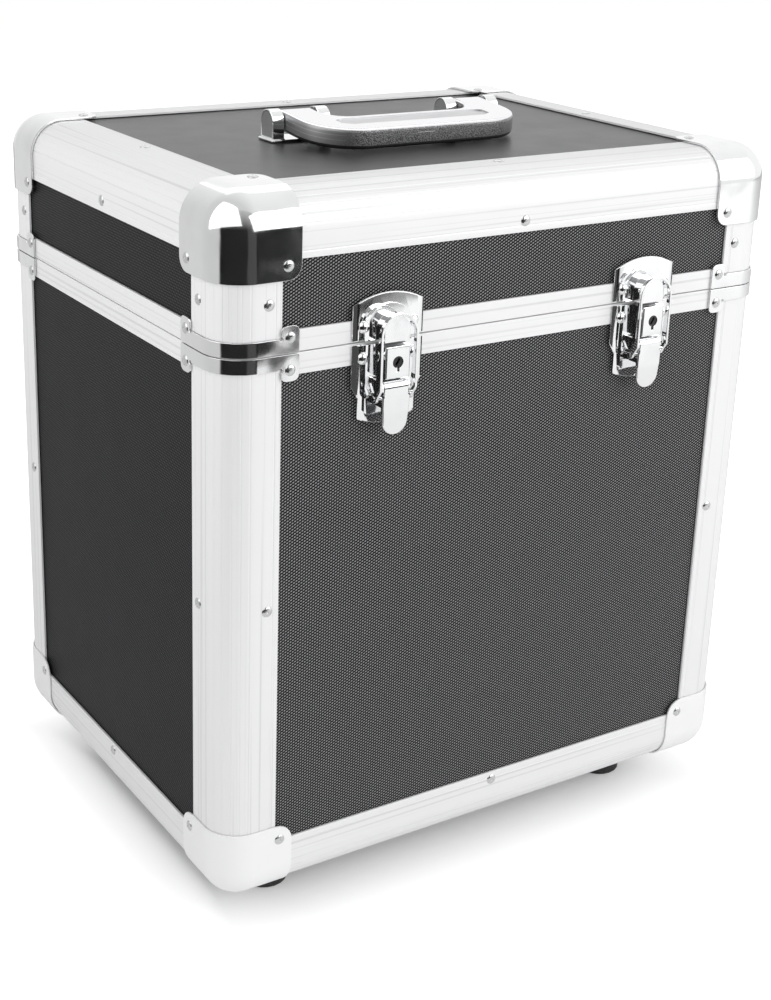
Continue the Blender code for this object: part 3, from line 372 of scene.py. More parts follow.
# Strength of the dots' painted glints away from the front and back, and specular level, of each
# laminate
LAMINATES = {"dark_laminate": (0.2, 0.03), "sheen_laminate": (0.1, 0.5)}
# Colour, its share, grain, and least and most roughness of the plain metals
PLAIN_METALS = {
    "polished_cast": ("cast", 1.25, (60, 4, 0.4, 0.75), 0.13, 0.2),
    # The handle's downward faces: a dark copy of the cast, as painted shade
    "dark_cast": ("cast", 0.1, (1500, 2), 0.34, 0.5),
    # The rivets are darker than the chrome, partly as painted shade
    "plated_rivet": ("chrome", 0.76, (500, 3), 0.16, 0.26),
    "dark_keyway": ("chrome", 0.07, (900, 3), 0.18, 0.3),
}
# Marks on the cast sides of the handle, by distance below its top face and along it: the parting
# lines and a line along the grip are painted highlights, and below the shade drop the side is
# painted shade
PARTING_DROPS = (0.0036, 0.0062)
LINE_HALF = 0.00018
MARK_CENTRE = -0.0045
MARK_REACH = 0.0055
SHADE_DROP = 0.0090
GRAIN_REACH = (0.046, 0.060)


def new_material(name, colour, metallic, roughness=0.5):
    """A material with a Principled shader; returns its tree, its shader and Object coordinates."""
    made = bpy.data.materials.new(name)
    made.use_nodes = True
    made.diffuse_color = (*colour, 1)
    tree = made.node_tree
    shader = tree.nodes["Principled BSDF"]
    shader.inputs["Base Color"].default_value = (*colour, 1)
    shader.inputs["Roughness"].default_value = roughness
    shader.inputs["Metallic"].default_value = metallic
    return tree, shader, tree.nodes.new("ShaderNodeTexCoord").outputs["Object"]


def shade(colour, share):
    """A colour made darker or lighter by a share."""
    return tuple(min(1, value * share) for value in colour)


def colour_mix(tree, shader, mask, low, high):
    """Base colour between two colours by a mask."""
    node = tree.nodes.new("ShaderNodeMix")
    node.data_type = "RGBA"
    tree.links.new(mask, node.inputs["Factor"])
    node.inputs["A"].default_value = (*low, 1)
    node.inputs["B"].default_value = (*high, 1)
    tree.links.new(node.outputs["Result"], shader.inputs["Base Color"])


def uneven_gloss(tree, shader, mask, low, high):
    """Roughness between two values by a mask."""
    tree.links.new(spread(tree, mask, low, high), shader.inputs["Roughness"])


def bump(tree, shader, height, distance, strength=1):
    """Surface relief of a given depth in metres."""
    node = tree.nodes.new("ShaderNodeBump")
    node.inputs["Distance"].default_value = distance
    node.inputs["Strength"].default_value = strength
    tree.links.new(height, node.inputs["Height"])
    tree.links.new(node.outputs["Normal"], shader.inputs["Normal"])


def aluminium_material(colours, name):
    """Satin anodised aluminium with faint uneven sheen, and draw lines along an extrusion."""
    tree, shader, place = new_material(name, colours.aluminium, 0.2)
    uneven_gloss(tree, shader, grain(tree, place, 55, 4, 0.3, 0.7), 0.38, 0.47)
    lines = grain(tree, stretched(tree, place, DRAW_LINES[name]), 560, 1, 0.58, 0.70)
    colour_mix(tree, shader, lines, colours.aluminium, shade(colours.aluminium, 0.84))
    height = math_node(
        tree, "SUBTRACT", grain(tree, place, 2600, 2), math_node(tree, "MULTIPLY", lines, 4))
    bump(tree, shader, height, 0.000006, 0.6)


def chrome_material(colours, name):
    """Bright plating with faint smudges, a little uneven on the pressed corners and brackets."""
    tree, shader, place = new_material(name, colours.chrome, 1)
    smudge = grain(tree, place, 70, 5, 0.45, 0.75)
    colour_mix(tree, shader, smudge, colours.chrome, shade(colours.chrome, 0.96))
    least, depth = PLATINGS[name]
    uneven_gloss(tree, shader, smudge, least, least + 0.075)
    if depth:
        bump(tree, shader, grain(tree, place, 45, 1, 0, 1), depth)


def satin_material(colours, name):
    """Satin pressed metal of the base corners."""
    tree, shader, place = new_material(name, colours.satin, 0.15)
    uneven_gloss(tree, shader, grain(tree, place, 60, 4, 0.3, 0.7), 0.3, 0.4)
    bump(tree, shader, grain(tree, place, 1800, 2), 0.000008, 0.6)


def laminate_material(colours, name):
    """Dark laminate with rows of raised dots outside, lit by painted glints, and a plain dark lining
    inside.
    """
    tree, shader, place = new_material(name, colours.laminate_low, 0)
    inset = 2 * (HALF_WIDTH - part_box("body_walls")[1].x)
    share, specular = LAMINATES[name]
    mask = group_mask(tree, place, "raised_dots", {
        "Pitch": bpy.context.scene.case_sizes.emboss_pitch,
        "Turned share": share,
        "Side plane": HALF_WIDTH - inset,
        "Front plane": HALF_DEPTH - inset,
        "Middle": CENTRE_Y,
        "Top plane": TOP_Z - inset,
        "Bottom plane": BASE_Z + inset,
    })
    colour_mix(tree, shader, mask, colours.laminate_low, colours.laminate_dot_glint)
    uneven_gloss(tree, shader, grain(tree, place, 40, 4, 0.3, 0.7), 0.32, 0.36)
    shader.inputs["Specular IOR Level"].default_value = specular
    bump(tree, shader, mask, 0.00028)


def rubber_material(colours, name):
    """Matt black rubber."""
    tree, shader, place = new_material(name, colours.rubber, 0, 0.7)
    mask = grain(tree, place, 900, 3)
    colour_mix(tree, shader, mask, shade(colours.rubber, 0.8), shade(colours.rubber, 1.5))
    bump(tree, shader, mask, 0.00003, 0.7)


def foam_material(colours, name):
    """Soft black foam with fine open cells."""
    tree, shader, place = new_material(name, colours.foam, 0, 0.95)
    cells = tree.nodes.new("ShaderNodeTexVoronoi")
    cells.inputs["Scale"].default_value = 900
    tree.links.new(place, cells.inputs["Vector"])
    mask = cells.outputs["Distance"]
    colour_mix(tree, shader, mask, shade(colours.foam, 0.5), shade(colours.foam, 1.6))
    bump(tree, shader, mask, 0.00025, 0.9)
    shader.inputs["Sheen Weight"].default_value = 0.25


def handle_top():
    """Direction and distance of the handle's wide top face."""
    bm = merged("handle")
    face = max((f for f in bm.faces if f.normal.z > 0.9), key=lambda f: f.calc_area())
    normal = face.normal.copy()
    top = normal.dot(face.calc_center_median())
    bm.free()
    return normal, top


def handle_drop(tree, place):
    """Distance below the handle's top face."""
    normal, top = handle_top()
    height = tree.nodes.new("ShaderNodeVectorMath")
    height.operation = "DOT_PRODUCT"
    height.inputs[1].default_value = normal
    tree.links.new(place, height.inputs[0])
    return math_node(tree, "SUBTRACT", top, height.outputs["Value"])


def grained_material(colours, name):
    """Cast sides of the handle: grainy along the grip, smoother at its ends, where its parting lines
    are painted highlights, with a painted highlight along the grip and painted shade along its lower
    edge.
    """
    colour = shade(colours.cast, 0.3)
    tree, shader, place = new_material(name, colour, 1, 0.4)
    x = axes(tree, place)["X"]
    drop = handle_drop(tree, place)
    ends = spread(tree, math_node(tree, "ABSOLUTE", x), 0, 1, GRAIN_REACH)
    grip = math_node(tree, "SUBTRACT", 1, ends)
    rough = math_node(tree, "MULTIPLY", grain(tree, place, 1900, 0), grip)
    # The parting lines and the line along the grip are painted highlights
    upper, lower = [within(tree, drop, level, LINE_HALF) for level in PARTING_DROPS]
    lines = math_node(tree, "MULTIPLY", math_node(tree, "MAXIMUM", upper, lower), ends)
    grip_line_highlight = math_node(tree, "MULTIPLY", within(tree, x, MARK_CENTRE, MARK_REACH), upper)
    light = math_node(tree, "ADD", spread(tree, rough, 0.07, 0.45),
                      math_node(tree, "MULTIPLY", ends, 0.56))
    for bright in (lines, grip_line_highlight):
        light = math_node(tree, "MAXIMUM", light, bright)
    # Below the shade drop the side takes the dark colour: painted shade
    lit = math_node(tree, "MULTIPLY", light, math_node(tree, "LESS_THAN", drop, SHADE_DROP))
    colour_mix(tree, shader, lit, shade(colour, 0.3), shade(colour, 2.7))
    bump(tree, shader, rough, 0.00009, 0.9)


def brushed_material(colours, name):
    """Brushed strip let into the top of the handle."""
    tree, shader, place = new_material(name, shade(colours.cast, 0.8), 1, 0.3)
    lines = grain(tree, stretched(tree, place, (0.02, 1, 1)), 2200, 2)
    colour_mix(tree, shader, lines, shade(colours.cast, 0.72), shade(colours.cast, 0.86))


def plain_metal(colours, name):
    """Polished, cast or plated metal with a fine unevenness in its gloss."""
    base, share, marks, low, high = PLAIN_METALS[name]
    tree, shader, place = new_material(name, shade(getattr(colours, base), share), 1)
    uneven_gloss(tree, shader, grain(tree, place, *marks), low, high)


def steel_material(colours, name):
    """Plated hinge steel."""
    tree, shader, place = new_material(name, colours.steel, 1)
    lines = grain(tree, stretched(tree, place, (0.04, 1, 1)), 1200, 3)
    uneven_gloss(tree, shader, lines, 0.24, 0.36)
    bump(tree, shader, lines, 0.000006, 0.5)


FINISHES = {
    **dict.fromkeys(DRAW_LINES, aluminium_material),
    **dict.fromkeys(PLATINGS, chrome_material),
    **dict.fromkeys(LAMINATES, laminate_material),
    **dict.fromkeys(PLAIN_METALS, plain_metal),
    "pressed_satin": satin_material,
    "black_rubber": rubber_material,
    "black_foam": foam_material,
    "grained_cast": grained_material,
    "brushed_cast": brushed_material,
    "plated_steel": steel_material,
}


def finish_named(name):
    """A finish by name, made the first time that it is asked for."""
    if name not in bpy.data.materials:
        FINISHES[name](bpy.context.scene.case_colours, name)
    return bpy.data.materials[name]


# Mesh tools

SMOOTH_ANGLE = 40
SHARP_ANGLE = 30


def body_of_node(node):
    """Name of the body that carries a CAD node."""
    return frame["nodes"][node]["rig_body"]


def put(bm, name, body, finishes, replaces=()):
    """Makes a piece of a bmesh that is already in place, and sets it on its body."""
    mesh = bpy.data.meshes.new(name)
    bm.to_mesh(mesh)
    bm.free()
    for finish in finishes:
        mesh.materials.append(finish_named(finish))
    mesh.shade_smooth()
    mesh.set_sharp_from_angle(angle=math.radians(SMOOTH_ANGLE))
    obj = bpy.data.objects.new(name, mesh)
    bpy.context.scene.collection.objects.link(obj)
    even = obj.modifiers.new("even_normals", "WEIGHTED_NORMAL")
    even.keep_sharp = True
    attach(obj, body)
    if replaces:
        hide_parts(*replaces)
    return obj


def stand_in(bm, node, finishes):
    """Puts a finished piece in the place of a CAD node."""
    put(bm, node + "_finished", body_of_node(node), finishes, (node,))


def merged(node):
    """A copy of a CAD node's mesh with its loose triangles merged and its flat faces joined."""
    bm = bmesh.new()
    bm.from_mesh(frame["nodes"][node].data)
    bmesh.ops.remove_doubles(bm, verts=bm.verts, dist=MERGE)
    bmesh.ops.dissolve_limit(
        bm, angle_limit=math.radians(0.5), verts=bm.verts, edges=bm.edges)
    return bm


def sharp(bm, least):
    """Edges that turn by more than an angle."""
    limit = math.radians(least)
    return [e for e in bm.edges if len(e.link_faces) == 2 and e.calc_face_angle(0) > limit]


def soften(bm, width, segments=2, least=SHARP_ANGLE, edges=None):
    """Rounds the sharp edges, or the given ones."""
    bmesh.ops.bevel(
        bm, geom=sharp(bm, least) if edges is None else edges, offset=width, offset_type="OFFSET",
        affect="EDGES", segments=segments, profile=0.5, material=-1, clamp_overlap=True,
    )


def dress(node, finish, width, segments=2):
    """Stands a rounded copy in for a CAD node."""
    bm = merged(node)
    soften(bm, width, segments)
    stand_in(bm, node, [finish])


def cut(bm, place, normal):
    """Cuts the faces of a bmesh along a plane, and keeps both sides."""
    bmesh.ops.bisect_plane(
        bm, geom=bm.verts[:] + bm.edges[:] + bm.faces[:], dist=MERGE,
        plane_co=place, plane_no=normal)


def spun(profile, radius, height, steps):
    """A closed turned shape about Z from a profile that begins and ends on the axis."""
    bm = bmesh.new()
    verts = [bm.verts.new((r * radius, 0, h * height)) for r, h in profile]
    edges = [bm.edges.new(pair) for pair in zip(verts, verts[1:])]
    bmesh.ops.spin(
        bm, geom=verts + edges, cent=(0, 0, 0), axis=(0, 0, 1), angle=math.tau,
        steps=steps, use_merge=True,
    )
    bmesh.ops.remove_doubles(bm, verts=bm.verts, dist=MERGE / 10)
    bmesh.ops.recalc_face_normals(bm, faces=bm.faces)
    return bm


def add(target, part, place, normal):
    """Adds a copy of a turned shape to a bmesh, at a place, with its axis along a direction."""
    mesh = bpy.data.meshes.new("part")
    part.to_mesh(mesh)
    turn = Vector(normal).to_track_quat("Z", "Y").to_matrix().to_4x4()
    mesh.transform(Matrix.Translation(place) @ turn)
    target.from_mesh(mesh)
    bpy.data.meshes.remove(mesh)


def at(side_x, side_y, a, b, z):
    """A point at distances from the two outer planes of a corner, at a height."""
    return Vector((side_x * (HALF_WIDTH - a), CENTRE_Y + side_y * (HALF_DEPTH - b), z))


# Boards, extrusions and corners


class CASE_OT_boards(bpy.types.Operator):
    """Gives the walls, floor and top their embossed laminate."""

    bl_idname = "case.boards"
    bl_label = "Boards"

    def execute(self, context):
        for node in ("body_walls", "lid_walls", "top_board", "bottom_board"):
            finish = "dark_laminate" if node.endswith("walls") else "sheen_laminate"
            for slot in frame["nodes"][node].material_slots:
                slot.material = finish_named(finish)
        return {"FINISHED"}


class CASE_OT_edges(bpy.types.Operator):
    """Finishes the grooved extrusions and the two rims."""

    bl_idname = "case.edges"
    bl_label = "Extrusions"

    def execute(self, context):
        width = context.scene.case_sizes.edge
        for side in SIDES:
            finish = "aluminium_across" if side in ("front", "back") else "aluminium_deep"
            for group in ("bottom_rail_", "top_rail_"):
                dress(group + side, finish, width, 1)
        for corner in CORNERS:
            for group in ("body_post_", "lid_post_"):
                dress(group + corner, "aluminium_upright", width, 1)
        for node in ("body_rim", "lid_rim"):
            dress(node, "aluminium_round", width)
        return {"FINISHED"}


# Nodes, outer plane, way inwards, radius of the ears, finish and slot of the corners
CAPS = (
    ("top_cap_", TOP_Z, -1, 0.0075, "bright_chrome", "chrome"),
    ("bottom_cap_", BASE_Z, 1, 0.0095, "pressed_satin", "satin_corner"),
)
CAP_GAP = 0.0003
CAP_SHARP_ANGLE = 60


def ball_corner(leg, radius, ear, gap, thickness, steps):
    """A pressed corner over three rounded edges, at distances from the three outer planes."""
    bm = bmesh.new()
    bmesh.ops.create_cube(bm, size=leg + gap)
    bmesh.ops.translate(bm, verts=bm.verts, vec=Vector((1, 1, 1)) * (leg - gap) / 2)
    open_faces = [f for f in bm.faces if max(f.calc_center_median()) > leg - MERGE]
    bmesh.ops.delete(bm, geom=open_faces, context="FACES")
    ears = [v for v in bm.verts if sum(value > leg / 2 for value in v.co) == 2]
    bmesh.ops.bevel(
        bm, geom=ears, offset=ear, offset_type="OFFSET", affect="VERTICES",
        segments=steps // 2, profile=0.5, material=-1,
    )
    tip = min(bm.verts, key=lambda vert: sum(vert.co))
    bmesh.ops.bevel(
        bm, geom=list(tip.link_edges), offset=radius + gap, offset_type="OFFSET", affect="EDGES",
        segments=steps, profile=0.5, material=-1,
    )
    bmesh.ops.remove_doubles(bm, verts=bm.verts, dist=MERGE)
    bmesh.ops.recalc_face_normals(bm, faces=bm.faces)
    middle = Vector((1, 1, 1)) * leg
    if sum(f.normal.dot(f.calc_center_median() - middle) for f in bm.faces) < 0:
        bmesh.ops.reverse_faces(bm, faces=bm.faces)
    bmesh.ops.solidify(bm, geom=bm.faces[:], thickness=-thickness)
    bmesh.ops.recalc_face_normals(bm, faces=bm.faces)
    return bm


class CASE_OT_corners(bpy.types.Operator):
    """Puts the ball corners on the lid and the satin ones at the base."""

    bl_idname = "case.corners"
    bl_label = "Ball corners"

    def execute(self, context):
        sizes = context.scene.case_sizes
        for corner, (side_x, side_y) in CORNERS.items():
            for group, level, up, ear, finish, slot in CAPS:
                low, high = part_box(group + corner)
                inner, outer = (low.z, high.z) if up < 0 else (high.z, low.z)
                proud = abs(outer - level)
                gap = min(proud, CAP_GAP)
                bm = ball_corner(abs(inner - level), sizes.corner_radius, ear, gap, proud - gap,
                                 sizes.corner_steps)
                soften(bm, sizes.edge, least=CAP_SHARP_ANGLE)
                for vert in bm.verts:
                    a, b, c = vert.co
                    vert.co = at(side_x, side_y, a, b, level + up * c)
                bmesh.ops.recalc_face_normals(bm, faces=bm.faces)
                stand_in(bm, group + corner, [finish])
        return {"FINISHED"}


class CASE_OT_brackets(bpy.types.Operator):
    """Finishes the seam brackets at the corners."""

    bl_idname = "case.brackets"
    bl_label = "Seam brackets"

    def execute(self, context):
        for corner in CORNERS:
            for group in ("lower_bracket_", "upper_bracket_"):
                dress(group + corner, "bright_chrome", context.scene.case_sizes.edge)
        return {"FINISHED"}


# Rivets

# Outlines of the rivet heads, in shares of their radius and height
HOLLOW_HEAD = (
    (0, 0.80), (0.14, 0.80), (0.20, 0.98), (0.42, 0.93), (0.62, 0.80),
    (0.80, 0.56), (0.93, 0.26), (1, -0.1), (0, -0.1),
)
DOME_STEPS = 8
# Inset from the corner's outer planes, and distance from a level
CAP_RIVET = (0.0344, 0.0345)
BASE_CAP_RIVET = (0.0341, 0.0335)
BRACKET_RIVET = (0.0361, 0.0082)
POST_RIVET = (0.0256, 0.1681)
LID_POST_RIVET = (0.0249, 0.0530)
# Distances from the edge of the rivets in the upright and the flat face of a rail
RAIL_RIVET = (0.0262, 0.0255)
BASE_RAIL_RIVET = (0.0274, 0.0255)


def small_rivet(radius, height):
    """A blind rivet's domed head with its small hollow."""
    return spun(HOLLOW_HEAD, radius, height, 20)


def domed_rivet(radius, height):
    """A plain half-round rivet head."""
    angles = [math.radians(90) * step / DOME_STEPS for step in range(DOME_STEPS + 1)]
    profile = [(math.sin(angle), math.cos(angle)) for angle in angles]
    return spun([*profile, (1, -0.1), (0, -0.1)], radius, height, 28)


def corner_rivets(corner):
    """Places, directions and lid flags of the rivets round one upright edge of the case."""
    side_x, side_y = CORNERS[corner]
    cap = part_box("top_cap_" + corner)[1].z - TOP_Z
    base = BASE_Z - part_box("bottom_cap_" + corner)[0].z
    low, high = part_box("lower_bracket_" + corner)
    bracket = max(-low.x, high.x) - HALF_WIDTH
    rows = (
        (CAP_RIVET, TOP_Z, -1, cap, True),
        (BASE_CAP_RIVET, BASE_Z, 1, base, False),
        (BRACKET_RIVET, SEAM_Z, 1, bracket, True),
        (BRACKET_RIVET, SEAM_Z, -1, bracket, False),
        (POST_RIVET, BASE_Z, 1, 0, False),
        (LID_POST_RIVET, TOP_Z, -1, 0, True),
    )
    found = []
    for (inset, rise), level, up, proud, lid in rows:
        z = level + up * rise
        found.append((at(side_x, side_y, inset, -proud, z), (0, side_y, 0), lid))
        found.append((at(side_x, side_y, -proud, inset, z), (side_x, 0, 0), lid))
    inset = CAP_RIVET[0]
    found.append((at(side_x, side_y, inset, inset, TOP_Z + cap), (0, 0, 1), True))
    found.append((at(side_x, side_y, inset, inset, BASE_Z - base), (0, 0, -1), False))
    return found


def rail_rivets():
    """Places, directions and lid flags of the rivets in the middle of the rails."""
    found = []
    for side_x, side_y in SIDES.values():
        edge = Vector((side_x * HALF_WIDTH, CENTRE_Y + side_y * HALF_DEPTH, 0))
        out = Vector((side_x, side_y, 0))
        up = Vector((0, 0, 1))
        found.append((edge + up * (TOP_Z - RAIL_RIVET[0]), out, True))
        found.append((edge - out * RAIL_RIVET[1] + up * TOP_Z, up, True))
        found.append((edge + up * (BASE_Z + BASE_RAIL_RIVET[0]), out, False))
        found.append((edge - out * BASE_RAIL_RIVET[1] + up * BASE_Z, -up, False))
    return found


class CASE_OT_rivets(bpy.types.Operator):
    """Sets the small rivets of extrusions, corners and brackets."""

    bl_idname = "case.rivets"
    bl_label = "Rivets"

    def execute(self, context):
        sizes = context.scene.case_sizes
        head = small_rivet(sizes.rivet_radius, sizes.rivet_height)
        rows = rail_rivets()
        for corner in CORNERS:
            rows += corner_rivets(corner)
        for name, lid in (("case", False), ("lid", True)):
            bm = bmesh.new()
            for place, normal, on_lid in rows:
                if on_lid == lid:
                    add(bm, head, place, normal)
            put(bm, name + "_rivets", name, ["plated_rivet"])
        head.free()
        return {"FINISHED"}


# Latches and handle

FITTING_EDGE = 0.0002
PLATE_THICKNESS = 0.0012
PLATE_DROP = 0.0010
NECK_Z = SEAM_Z - 0.0300
# Half widths of a plate at the bend and at the outline, and the heights between which they hold
KEEPER_BENDS = ((0.0177, 0.0209, NECK_Z, math.inf),)
BASE_BENDS = (*KEEPER_BENDS, (0.0140, 0.0170, 0, NECK_Z))
# Distances from the latch's middle line and from the seam
LATCH_RIVET = (0.0145, 0.008)
# The lever's tongue and the front edges that are rounded, from its outer face and its top
CREASE_SHARE = 0.44
TONGUE_BEND = 0.0008
LEVER_FRONT = 0.0016
LEVER_HEAD = 0.004
LEVER_EDGE = 0.0006
HOOP_EDGE = 0.0005
PLUG_SLANT = 30
PLUG_EDGE = 0.00015
HANDLE_FINISHES = ("polished_cast", "grained_cast", "brushed_cast", "dark_cast")
# The recess in the handle's top: its half length, and depths that tell its floor and walls
INLAY_REACH = 0.0505
INLAY_FLOOR = 0.0005
INLAY_WALL = 0.0009
DISH_LEAST_AREA = 0.0001
DISH_RIM = 0.0011
DISH_DEPTH = 0.0004


def bend_sides(bm, node, bends):
    """Bends the two sides of a latch plate back, outside a line at each of its widths."""
    low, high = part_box(node)
    middle = (low.x + high.x) / 2
    level = high.y - PLATE_THICKNESS
    for bend, outline, lowest, highest in bends:
        for side in (-1, 1):
            cut(bm, (middle + side * bend, 0, 0), (1, 0, 0))
        for vert in bm.verts:
            out = abs(vert.co.x - middle) - bend
            if abs(vert.co.y - level) < MERGE * 5 and out > 0 and lowest < vert.co.z < highest:
                vert.co.y += PLATE_DROP * min(1, out / (outline - bend))
    bmesh.ops.recalc_face_normals(bm, faces=bm.faces)


def latch_plate(node, bends, up, head):
    """Finishes a latch's keeper or base and sets its two rivets."""
    low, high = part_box(node)
    bm = merged(node)
    bend_sides(bm, node, bends)
    soften(bm, FITTING_EDGE)
    offset, rise = LATCH_RIVET
    for x in (-offset, offset):
        spot = Vector(((low.x + high.x) / 2 + x, high.y - PLATE_THICKNESS, SEAM_Z + up * rise))
        add(bm, head, spot, (0, -1, 0))
    stand_in(bm, node, ["latch_chrome"])


def creased_lever(node):
    """Finishes a lever: its tongue bends back below a crease, and its front edges are rounder."""
    low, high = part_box(node)
    crease = low.z + (high.z - low.z) * CREASE_SHARE
    bm = merged(node)
    cut(bm, (0, 0, crease), (0, 0, 1))
    for vert in bm.verts:
        if vert.co.z < crease:
            vert.co.y += TONGUE_BEND * (crease - vert.co.z) / (crease - low.z)
    front, top = low.y + LEVER_FRONT, high.z - LEVER_HEAD
    outline = [e for e in sharp(bm, SHARP_ANGLE)
               if all(v.co.y < front and v.co.z < top for v in e.verts)]
    soften(bm, LEVER_EDGE, 3, edges=outline)
    stand_in(bm, node, ["latch_chrome"])


def turned_plug(node):
    """Finishes a lock's plug with its slot at a slant."""
    low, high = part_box(node)
    bm = merged(node)
    slant = Matrix.Rotation(math.radians(PLUG_SLANT), 3, "Y")
    bmesh.ops.rotate(bm, verts=bm.verts, cent=(low + high) / 2, matrix=slant)
    soften(bm, PLUG_EDGE)
    stand_in(bm, node, ["dark_keyway"])


class CASE_OT_latches(bpy.types.Operator):
    """Finishes the two draw latches and sets their rivets."""

    bl_idname = "case.latches"
    bl_label = "Latches"

    def execute(self, context):
        sizes = context.scene.case_sizes
        head = domed_rivet(sizes.latch_rivet_radius, sizes.latch_rivet_height)
        for side in ("left", "right"):
            latch_plate("latch_keeper_" + side, KEEPER_BENDS, 1, head)
            latch_plate("latch_base_" + side, BASE_BENDS, -1, head)
            creased_lever("latch_lever_" + side)
            dress("latch_hoop_" + side, "latch_chrome", HOOP_EDGE, 3)
            turned_plug("lock_plug_" + side)
        head.free()
        return {"FINISHED"}


def handle_finish(face, normal, top):
    """Which finish a face of the handle has."""
    facing_up = face.normal.dot(normal)
    drop = top - normal.dot(face.calc_center_median())
    if facing_up > 0.6:
        return "brushed_cast" if drop > INLAY_FLOOR else "polished_cast"
    # Faces turned down take the dark copy of the cast, as painted shade
    if facing_up < -0.25:
        return "dark_cast"
    inlay = drop < INLAY_WALL and all(abs(vert.co.x) < INLAY_REACH for vert in face.verts)
    return "brushed_cast" if inlay else "grained_cast"


def dished_bracket(node):
    """Finishes a handle bracket, with a shallow dish in the round ends of its lugs."""
    bm = merged(node)
    ends = [f for f in bm.faces if abs(f.normal.x) > 0.99 and f.calc_area() > DISH_LEAST_AREA]
    for face in ends:
        bmesh.ops.inset_region(
            bm, faces=[face], thickness=DISH_RIM, depth=-DISH_DEPTH, use_even_offset=True)
    soften(bm, FITTING_EDGE)
    stand_in(bm, node, ["latch_chrome"])


class CASE_OT_handle(bpy.types.Operator):
    """Finishes the folding handle and its brackets."""

    bl_idname = "case.handle"
    bl_label = "Handle"

    def execute(self, context):
        bm = merged("handle")
        soften(bm, FITTING_EDGE)
        normal, top = handle_top()
        for face in bm.faces:
            face.material_index = HANDLE_FINISHES.index(handle_finish(face, normal, top))
        stand_in(bm, "handle", HANDLE_FINISHES)
        for side in ("left", "right"):
            dished_bracket("handle_bracket_" + side)
        return {"FINISHED"}


# Hinge, feet and lining

HINGE_EDGE = 0.0001
LEAF_RIVETS = 6
LEAF_RIVET_INSET = 0.0048
LEAF_RIVET_SHARE = 0.8
FOOT_EDGE = 0.0004
FOAM_EDGE = 0.0022


def leaf_face(node):
    """Distance of a hinge leaf's broad outer face along Y."""
    bm = merged(node)
    face = max((f for f in bm.faces if f.normal.y > 0.99), key=lambda f: f.calc_area())
    level = face.calc_center_median().y
    bm.free()
    return level


class CASE_OT_hinge(bpy.types.Operator):
    """Finishes the long rear hinge."""

    bl_idname = "case.hinge"
    bl_label = "Rear hinge"

    def execute(self, context):
        sizes = context.scene.case_sizes
        head = small_rivet(
            sizes.rivet_radius * LEAF_RIVET_SHARE, sizes.rivet_height * LEAF_RIVET_SHARE)
        for node in ("hinge_body_leaf", "hinge_lid_leaf", "hinge_pin"):
            dress(node, "plated_steel", HINGE_EDGE)
        for node, up in (("hinge_body_leaf", False), ("hinge_lid_leaf", True)):
            low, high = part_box(node)
            level = high.z - LEAF_RIVET_INSET if up else low.z + LEAF_RIVET_INSET
            face = leaf_face(node)
            bm = bmesh.new()
            for rivet in range(LEAF_RIVETS):
                across = low.x + (high.x - low.x) * (rivet + 0.5) / LEAF_RIVETS
                add(bm, head, (across, face, level), (0, 1, 0))
            put(bm, node + "_rivets", body_of_node(node), ["plated_rivet"])
        head.free()
        return {"FINISHED"}


class CASE_OT_feet(bpy.types.Operator):
    """Finishes the rubber feet."""

    bl_idname = "case.feet"
    bl_label = "Feet"

    def execute(self, context):
        for corner in CORNERS:
            dress("foot_" + corner, "black_rubber", FOOT_EDGE)
        return {"FINISHED"}


class CASE_OT_lining(bpy.types.Operator):
    """Lays the foam pads on the floor and in the lid."""

    bl_idname = "case.lining"
    bl_label = "Foam lining"

    def execute(self, context):
        for node in ("floor_pad", "lid_pad"):
            low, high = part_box(node)
            bm = bmesh.new()
            bmesh.ops.create_cube(bm, size=1)
            bmesh.ops.scale(bm, verts=bm.verts, vec=high - low)
            bmesh.ops.translate(bm, verts=bm.verts, vec=(low + high) / 2)
            soften(bm, FOAM_EDGE, 4)
            obj = put(bm, node + "_foam", body_of_node(node), ["black_foam"], (node,))
        return {"FINISHED"}


# Studio

CAMERA_PLACE = (-0.52559, -0.79536, 0.5595)
CAMERA_TURN = (71.0852, -1.5352, -31.9689)
CAMERA_LENS = 77.98
CAMERA_SHIFT = (0.04609, -0.11344)
# Name, place, target, width, height, power and roll in degrees of each lamp
LAMPS = (
    ("left_panel", (-0.84, -0.37, 1.60), (0.15, -0.22, 1.60), 1.94, 2.17, 14, 14.6),
    ("right_panel", (1.18, -1.82, 1.22), (0, 0, 0.3), 2.2, 1.76, 26, 0),
    ("rear_panel", (0.7, 1.6, 2.2), (0, 0, 0.3), 1.8, 1.4, 3, 0),
)
TABLE_EDGE = (
    (4, 4), (-0.5, 4), (-0.5, 0.3), (-0.5, -0.1), (-0.45, -0.55), (0, -0.62),
    (0.25, -1.0), (0.40, -1.06), (0.44, -1.16), (0.9, -1.22), (1.1, -1.28), (1.6, -1.7), (4, -1.7),
)
TABLE_DROP = 0.0002
TABLE_SEEN = (0.8, 0.8, 0.8)
TABLE_UNSEEN = (0.98, 0.98, 0.98)
# Glow of the table by distance in front, behind and right of the case, and to its left; it is weak
# close to the case, which paints a shadow round it, narrower along its left side, on top of the real
# one
TABLE_GLOW = (
    (-1, 0.03), (-0.06, 0.03), (-0.048, 0.14), (-0.039, 0.21), (-0.019, 0.31), (-0.009, 0.38),
    (0.004, 0.47), (0.025, 0.7), (0.05, 0.95), (0.07, 1), (1, 1),
)
LEFT_GLOW = (
    (-1, 0), (-0.023, 0), (-0.0187, 0.15), (-0.015, 0.3), (-0.0115, 0.37), (-0.006, 0.42),
    (0, 0.47), (0.01, 0.58), (0.03, 0.85), (0.05, 1), (1, 1),
)
TABLE_IN_METAL = 0.05
# Light of the room by height, as it falls on the case
ROOM_LEVEL = ((-1, 0.85), (0, 0.85), (0.45, 0.5), (1, 0.22))
